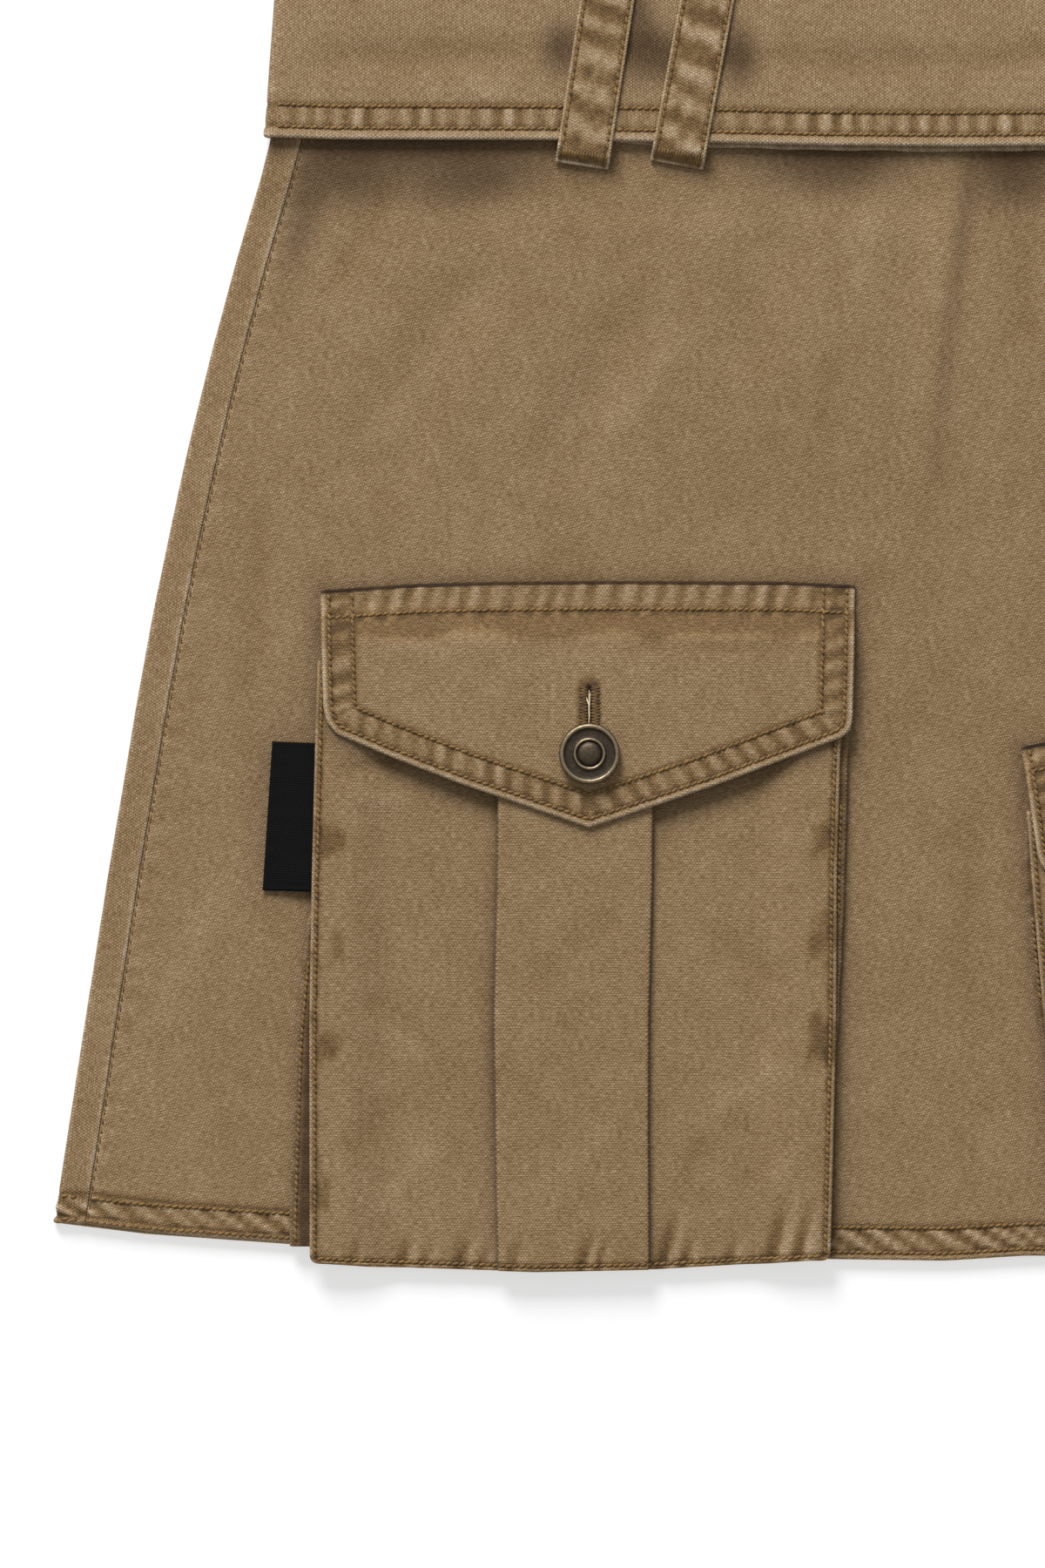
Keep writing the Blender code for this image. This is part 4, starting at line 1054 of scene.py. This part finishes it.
# Pointed flap, sewn down along its top, with a buttonhole above the button.
flap = {
    "top": [(-74.9, -0.3), (-47.7, 1.5), (-27, 2), (5.7, 2.3), (54.3, 2.1), (74.1, 1.1)],
    "bottom": [(-74, -32.8), (-73.1, -37), (-70.5, -40.3), (-56.7, -46.2), (-35.8, -54.3), (-14.5, -61.5),
               (-0.1, -66.5), (14.2, -61.7), (35.3, -54.6), (56.1, -46.7), (69.9, -41.5), (72.6, -39.4),
               (73.2, -35.8)],
    "tip": 6, "climbStart": 3, "climbLength": 12.5,
    "edge": {"rows": [2.3, 8.8], "roll": 0.28, "wear": 0.4, "period": 5.6, "slant": 0.3, "pucker": 0.24,
             "blotch": 0.7, "stain": 0.25, "seed": 9},
    "topEdge": {"rows": [7.9], "start": 0.6, "zone": 10.5, "roll": 0, "wear": 0, "period": 6, "slant": 0.25,
                "pucker": 0.24, "blotch": 0.62, "stain": 0.1, "seed": 10},
    "crease": [(-22, -15, 66, -17, 2.2, -0.22), (-60, -14, -30, -20, 3, 0.15)],
    "slit": 0.4, "slitTop": -27.4, "button": -45.9,
}


def flapHeight(b):
    climb = ease((-b - flap["climbStart"]) / flap["climbLength"])
    return level["gusset"] + (level["flap"] - level["gusset"]) * climb


def makeFlap(pocket):
    corners = flap["bottom"]
    runs = np.concatenate([[0], np.cumsum(np.hypot(*np.diff(np.array(corners), axis=0).T))])
    tip = runs[flap["tip"]]
    wide = pocket["step"] * 0.85
    stops = np.concatenate([spread(0, tip - 3, wide, (0, 0.5, 1, 1.6, 2.4), (0,)),
                            tip + np.arange(-2.6, 2.7, 0.4),
                            spread(tip + 3, runs[-1], wide, (0,), (0, 0.5, 1, 1.6, 2.4))])
    lowA, lowB = [np.interp(stops, runs, places) for places in np.array(corners).T]
    share = spread(0, 50, wide, cloth["fineSteps"], (0, 0.3, 0.6, 0.9, 1.2, 1.6))[:, None] / 50
    across = (lowA - corners[0][0]) / (corners[-1][0] - corners[0][0])
    topA = flap["top"][0][0] + across * (flap["top"][-1][0] - flap["top"][0][0])
    topB = readTable(flap["top"], topA)
    a = lowA + share * (topA - lowA)
    b = lowB + share * (topB - lowB)
    x, y = pocketPoint(pocket, a, b)
    seed = pocket["seed"]
    lower = [flap["top"][0]] + corners + [flap["top"][-1]]
    distance, along = measureEdge(a, b, lower)
    below = readTable(flap["top"], a) - b
    lift, fade = washed(x, y, seed + 30)
    edgeLift, edgeFade = sewnEdge(distance, along, dict(flap["edge"], seed=seed + 31))
    topLift, topFade = sewnEdge(below, a, dict(flap["topEdge"], seed=seed + 32))
    lift += edgeLift + topLift + creaseLift(a, b, flap["crease"])
    # The top 1.25 mm, where the flap is sewn down, are made dark and unfaded: painted shade along that edge,
    # with more painted shade set below.
    fade += edgeFade + topFade + 0.7 * creaseLift(a, b, flap["crease"]) - 1.4 * ease((1.25 - below) / 0.4)
    fade -= 0.7 * ease((below - 7.5) / 1) * ease((16.5 + 2 * cloud(a, b, 9, seed + 33) - below) / 3)
    slit = np.where((b < flap["slitTop"]) & (b > flap["button"] - 1), np.abs(a) - flap["slit"], 9)
    above = np.hypot(a, np.maximum(b - flap["slitTop"], 0)) - flap["slit"]
    slit = np.minimum(slit, np.where(b >= flap["slitTop"], above, 9))
    # Painted shade: a dark line along the sewn-down top edge, light shade round the buttonhole's slit and
    # deep shade in the slit itself.
    paintedShade = np.maximum(0.3 * ease((2.6 - slit) / 1.6), ease((1.25 - below) / 0.4))
    fade -= 0.6 * ease((3.4 - slit) / 1)
    lift -= 0.9 * ease((0.35 - slit) / 0.35)
    paintedShade = np.maximum(paintedShade, 1.3 * ease((0.3 - slit) / 0.3))
    rim = np.minimum(distance, np.maximum(below, 0))
    places = (x, y, flapHeight(b))
    piece, outer = makeCloth(pocket["name"] + "_flap_cloth", places, (a, b), rim, lift, fade, paintedShade)
    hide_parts(pocket["name"] + "_flap")
    heights = makeFinder(outer)
    for number, row in enumerate(flap["edge"]["rows"]):
        line = [pocketPoint(pocket, *point) for point in shiftLine(lower, row)]
        sewRow(pocket["name"], heights, trimLine(line, 1.2), seed + 34 + number)
    line = [pocketPoint(pocket, place, readTable(flap["top"], place) - flap["topEdge"]["rows"][0])
            for place in np.linspace(-72.5, 72.5, 40)]
    sewRow(pocket["name"], heights, line, seed + 37)
    makeButtonhole(pocket, heights)


# Keyhole buttonhole: threads side by side along both edges of the slit, a fan round its end, frayed fibres.
buttonhole = {"spacing": 0.42, "inner": 0.3, "outer": 3, "radius": 0.25, "end": -38.6, "fan": 13}


def makeButtonhole(pocket, heights):
    rng = np.random.default_rng(pocket["seed"] + 40)
    shares = np.array([0, 0.3, 0.72, 1])
    rows = np.arange(buttonhole["end"], flap["slitTop"], buttonhole["spacing"])
    inner, outer = [], []
    for side in (-1, 1):
        slope = np.where(np.arange(len(rows)) % 2 == 0, 0.24, -0.24)
        reach = buttonhole["outer"] + rng.uniform(-0.25, 0.25, len(rows))
        inner.append(np.stack([rows * 0 + side * buttonhole["inner"], rows - slope], -1))
        outer.append(np.stack([side * reach, rows + slope], -1))
    angles = np.linspace(0.05, np.pi - 0.05, buttonhole["fan"])
    around = np.stack([np.cos(angles), np.sin(angles)], -1)
    inner.append(around * buttonhole["inner"] + [0, flap["slitTop"]])
    outer.append(around * (buttonhole["outer"] - 0.4) + [0, flap["slitTop"]])
    inner, outer = np.concatenate(inner), np.concatenate(outer)
    spots = inner[:, None] + (outer - inner)[:, None] * shares[None, :, None]
    x, y = pocketPoint(pocket, spots[..., 0], spots[..., 1])
    z = level["flap"] + cloth["pocketWall"] / 2 + np.array([-0.45, 0.16, 0.2, -0.12]) + x * 0
    z += rng.uniform(-0.05, 0.05, (len(z), 1))
    addThreads("buttonholes", x, y, z, buttonhole["radius"])
    starts = np.array([(-0.1, -28.2), (0.25, -29), (-0.3, -32.5), (0.1, -34), (-0.8, -30)])
    ends = np.array([(0, -36.8), (0.1, -38), (-0.9, -29.8), (-0.2, -38.4), (0, -33)])
    spots = starts[:, None] + (ends - starts)[:, None] * shares[None, :, None]
    spots[:, 1:3, 0] += rng.uniform(-0.2, 0.2, (len(starts), 2))
    x, y = pocketPoint(pocket, spots[..., 0], spots[..., 1])
    z = level["flap"] + cloth["pocketWall"] / 2 + np.array([-0.3, 0.12, 0.12, -0.3]) + x * 0
    addThreads("frays", x, y, z, 0.13)


# Tack button: radius, height above the underside of the cap, share of rubbed metal.
button = {
    "profile": [(0, 3.3, 0.3), (1.2, 3.25, 0.3), (2.2, 3.05, 0.3), (2.8, 2.75, 0.2), (3.2, 2.4, 0.1),
                (3.42, 2.12, 0), (3.5, 2.1, 0), (3.62, 2.4, 0.3), (3.8, 2.7, 0.8), (4.1, 2.84, 1),
                (4.4, 2.68, 0.7), (4.6, 2.3, 0.1), (4.85, 2.14, 0), (5.8, 2.1, 0.08), (6.75, 2.16, 0),
                (7, 2.42, 0.25), (7.3, 2.78, 0.8), (7.65, 2.92, 1), (8.05, 2.78, 0.8), (8.35, 2.35, 0.55),
                (8.5, 1.6, 0.35), (8.4, 0.8, 0.2), (8.05, 0.22, 0.2), (7.2, 0, 0.1), (4.5, 0, 0),
                (2, 0, 0), (2, -1, 0), (2, -1.3, 0), (0, -1.3, 0)],
    "shank": 22,   # from this point on the profile is straight
    "turns": 64,
}


# Turned shape: the profile eased between its points and carried round the button's axis.
def makeButton(pocket):
    profile = np.array(button["profile"])
    fine = np.linspace(0, len(profile) - 1, (len(profile) - 1) * 3 + 1)
    index = np.clip(np.floor(fine).astype(int), 0, len(profile) - 2)
    share = (fine - index)[:, None]
    before, after = profile[np.maximum(index - 1, 0)], profile[np.minimum(index + 2, len(profile) - 1)]
    start, end = profile[index], profile[index + 1]
    bend = (2 * before - 5 * start + 4 * end - after) * share ** 2
    twist = (3 * start - before - 3 * end + after) * share ** 3
    curve = 0.5 * (2 * start + (end - before) * share + bend + twist)
    curve = np.where((index >= button["shank"])[:, None], start + (end - start) * share, curve)
    radius, height, rubbed = curve.T
    radius = np.maximum(radius, 0)
    angles = np.arange(button["turns"]) * 2 * np.pi / button["turns"]
    wobble = 0.02 * np.cos(angles * 3 + radius[:, None]) * (radius[:, None] > 1)
    a = (radius[:, None] + wobble) * np.cos(angles)
    b = (radius[:, None] + wobble) * np.sin(angles)
    x, y = pocketPoint(pocket, a / pocket["scale"], flap["button"] + b / pocket["scale"])
    base = level["flap"] + cloth["pocketWall"] / 2 + cloth["gap"]
    points = np.stack([x, y, base + height[:, None] + a * 0], -1)
    inner = points[1:-1].reshape(-1, 3)
    rings, turns = len(radius) - 2, button["turns"]
    index = np.arange(rings * turns).reshape(rings, turns)
    index = np.concatenate([index, index[:, :1]], axis=1)
    quads = np.roll(gridQuads(index)[:, ::-1], 1, axis=1)
    ends = np.stack([points[0, 0], points[-1, 0]])
    mesh = bpy.data.meshes.new(pocket["name"] + "_tack_button")
    caps = [(len(inner), int(p), int(q)) for p, q in zip(index[0, :-1], index[0, 1:])]
    caps += [(len(inner) + 1, int(q), int(p)) for p, q in zip(index[-1, :-1], index[-1, 1:])]
    mesh.from_pydata((np.concatenate([inner, ends]) * toMetres).tolist(), [], quads.tolist() + caps)
    mesh.validate()
    mesh.shade_smooth()
    piece = addObject(mesh.name, mesh)
    putValues(piece, "rubbed", np.concatenate([np.repeat(rubbed[1:-1], turns), [rubbed[0], rubbed[-1]]]))
    finishPiece(piece, brass)
    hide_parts(pocket["name"] + "_button")


# Woven tab in the left edge of the left pocket: x and y of its corners, from left to right.
label = {
    "top": [(-187.5, -57.3), (-174.9, -57.8)],
    "bottom": [(-190.2, -98.8), (-175.4, -99.2)],
    "width": 13.5, "length": 41.3, "outerZ": 3.5, "innerZ": 4.6,
}


def makeLabel():
    width, length = label["width"], label["length"]
    fine = (0, 0.15, 0.4, 0.8, 1.3)
    share = spread(0, width, 0.5, fine, fine)[None, :] / width
    up = spread(0, length, 0.8, fine, fine)[:, None] / length
    lowX, lowY = [start + share * (end - start) for start, end in zip(*label["bottom"])]
    topX, topY = [start + share * (end - start) for start, end in zip(*label["top"])]
    x, y = lowX + up * (topX - lowX), lowY + up * (topY - lowY)
    z = label["outerZ"] + (label["innerZ"] - label["outerZ"]) * ease(share)
    rim = least(share * width, (1 - share) * width, up * length, (1 - up) * length)
    u, v = share * width + x * 0, up * length + x * 0
    lift = 0.06 * np.cos(v * 2 * np.pi / 5.2) * bell(u - 2, 2) + 0.05 * cloud(u, v, 5, 91)
    lift -= 0.1 * bell(np.abs(v - length / 2) - length / 2 + 1.2, 0.35)
    piece, _ = makeCloth("pocket_label_tab", (x, y, z), (u, v), rim, lift)
    finishPiece(piece, tape)
    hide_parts("pocket_label")


# Pale matt tabletop that the skirt lies on.
def makeFloor():
    size = 3
    mesh = bpy.data.meshes.new("tabletop")
    mesh.from_pydata([(-size, -size, 0), (size, -size, 0), (size, size, 0), (-size, size, 0)], [],
                     [(0, 1, 2, 3)])
    floor = addObject("tabletop", mesh)
    mesh.materials.append(newMaterial("Lit white board", {
        "Base Color": hexColour("a6a6a6"), "Roughness": 0.95, "Specular IOR Level": 0.1,
        "Emission Color": (1, 1, 1, 1), "Emission Strength": 0.57})[0])
    return floor


# Camera straight above the part of the skirt that shows, far off, so that the view is almost parallel.
view = {"x": -0.1178, "y": -0.0692, "height": 2.4, "tall": 0.4372, "sensor": 36}
# Soft daylight: a white surround and a broad lamp towards the waist, a little to the left.
light = {"surround": 0.48, "lamp": 650, "size": 2.6, "from": (-1.7, 5.1, 3.2)}


def makeCamera():
    data = bpy.data.cameras.new("Camera")
    data.sensor_width = view["sensor"]
    data.lens = view["sensor"] * view["height"] / view["tall"]
    camera = addObject("Camera", data)
    camera.location = (view["x"], view["y"], view["height"])
    bpy.context.scene.camera = camera


def makeLights():
    data = bpy.data.lights.new("Window", "AREA")
    data.energy = light["lamp"]
    data.size = light["size"]
    lamp = addObject("Window", data)
    lamp.location = light["from"]
    aim = Vector((view["x"], view["y"], 0)) - lamp.location
    lamp.rotation_euler = aim.to_track_quat("-Z", "Y").to_euler()
    world = bpy.data.worlds.new("Surround")
    bpy.context.scene.world = world
    world.use_nodes = True
    surround = world.node_tree.nodes["Background"]
    surround.inputs["Color"].default_value = (1, 1, 1, 1)
    surround.inputs["Strength"].default_value = light["surround"]
    bpy.context.scene.view_settings.view_transform = "Standard"


makeCamera()
makeLights()
floor = makeFloor()
canvas = makeCanvas()
brass = makeBrass()
tape = makeTape()
thread = makeThread("Cotton sewing thread", "4f3817", "80622f")
tackThread = makeThread("Buttonhole thread", "3f2c12", "745528")
fray = makeThread("Frayed canvas fibre", "b9a07c", "d9c9a8")
print("materials, lights and camera ready")

makeBack()
makeFront()
print("body panels ready")
makeFacing()
makeBand()
for number, (x, y, lean) in enumerate(loops["places"], start=1):
    makeLoop(number, x, y, lean)
print("band and belt loops ready")
for pocket in pockets:
    makePocketFront(pocket)
    makeGusset(pocket, -1)
    makeGusset(pocket, 1)
    makeFlap(pocket)
    makeButton(pocket)
makeLabel()
print("pockets ready")
special = {"frays": fray, "buttonholes": tackThread}
for group in threads:
    makeThreads(group + "_threads", group, special.get(group, thread))
print("threads ready")
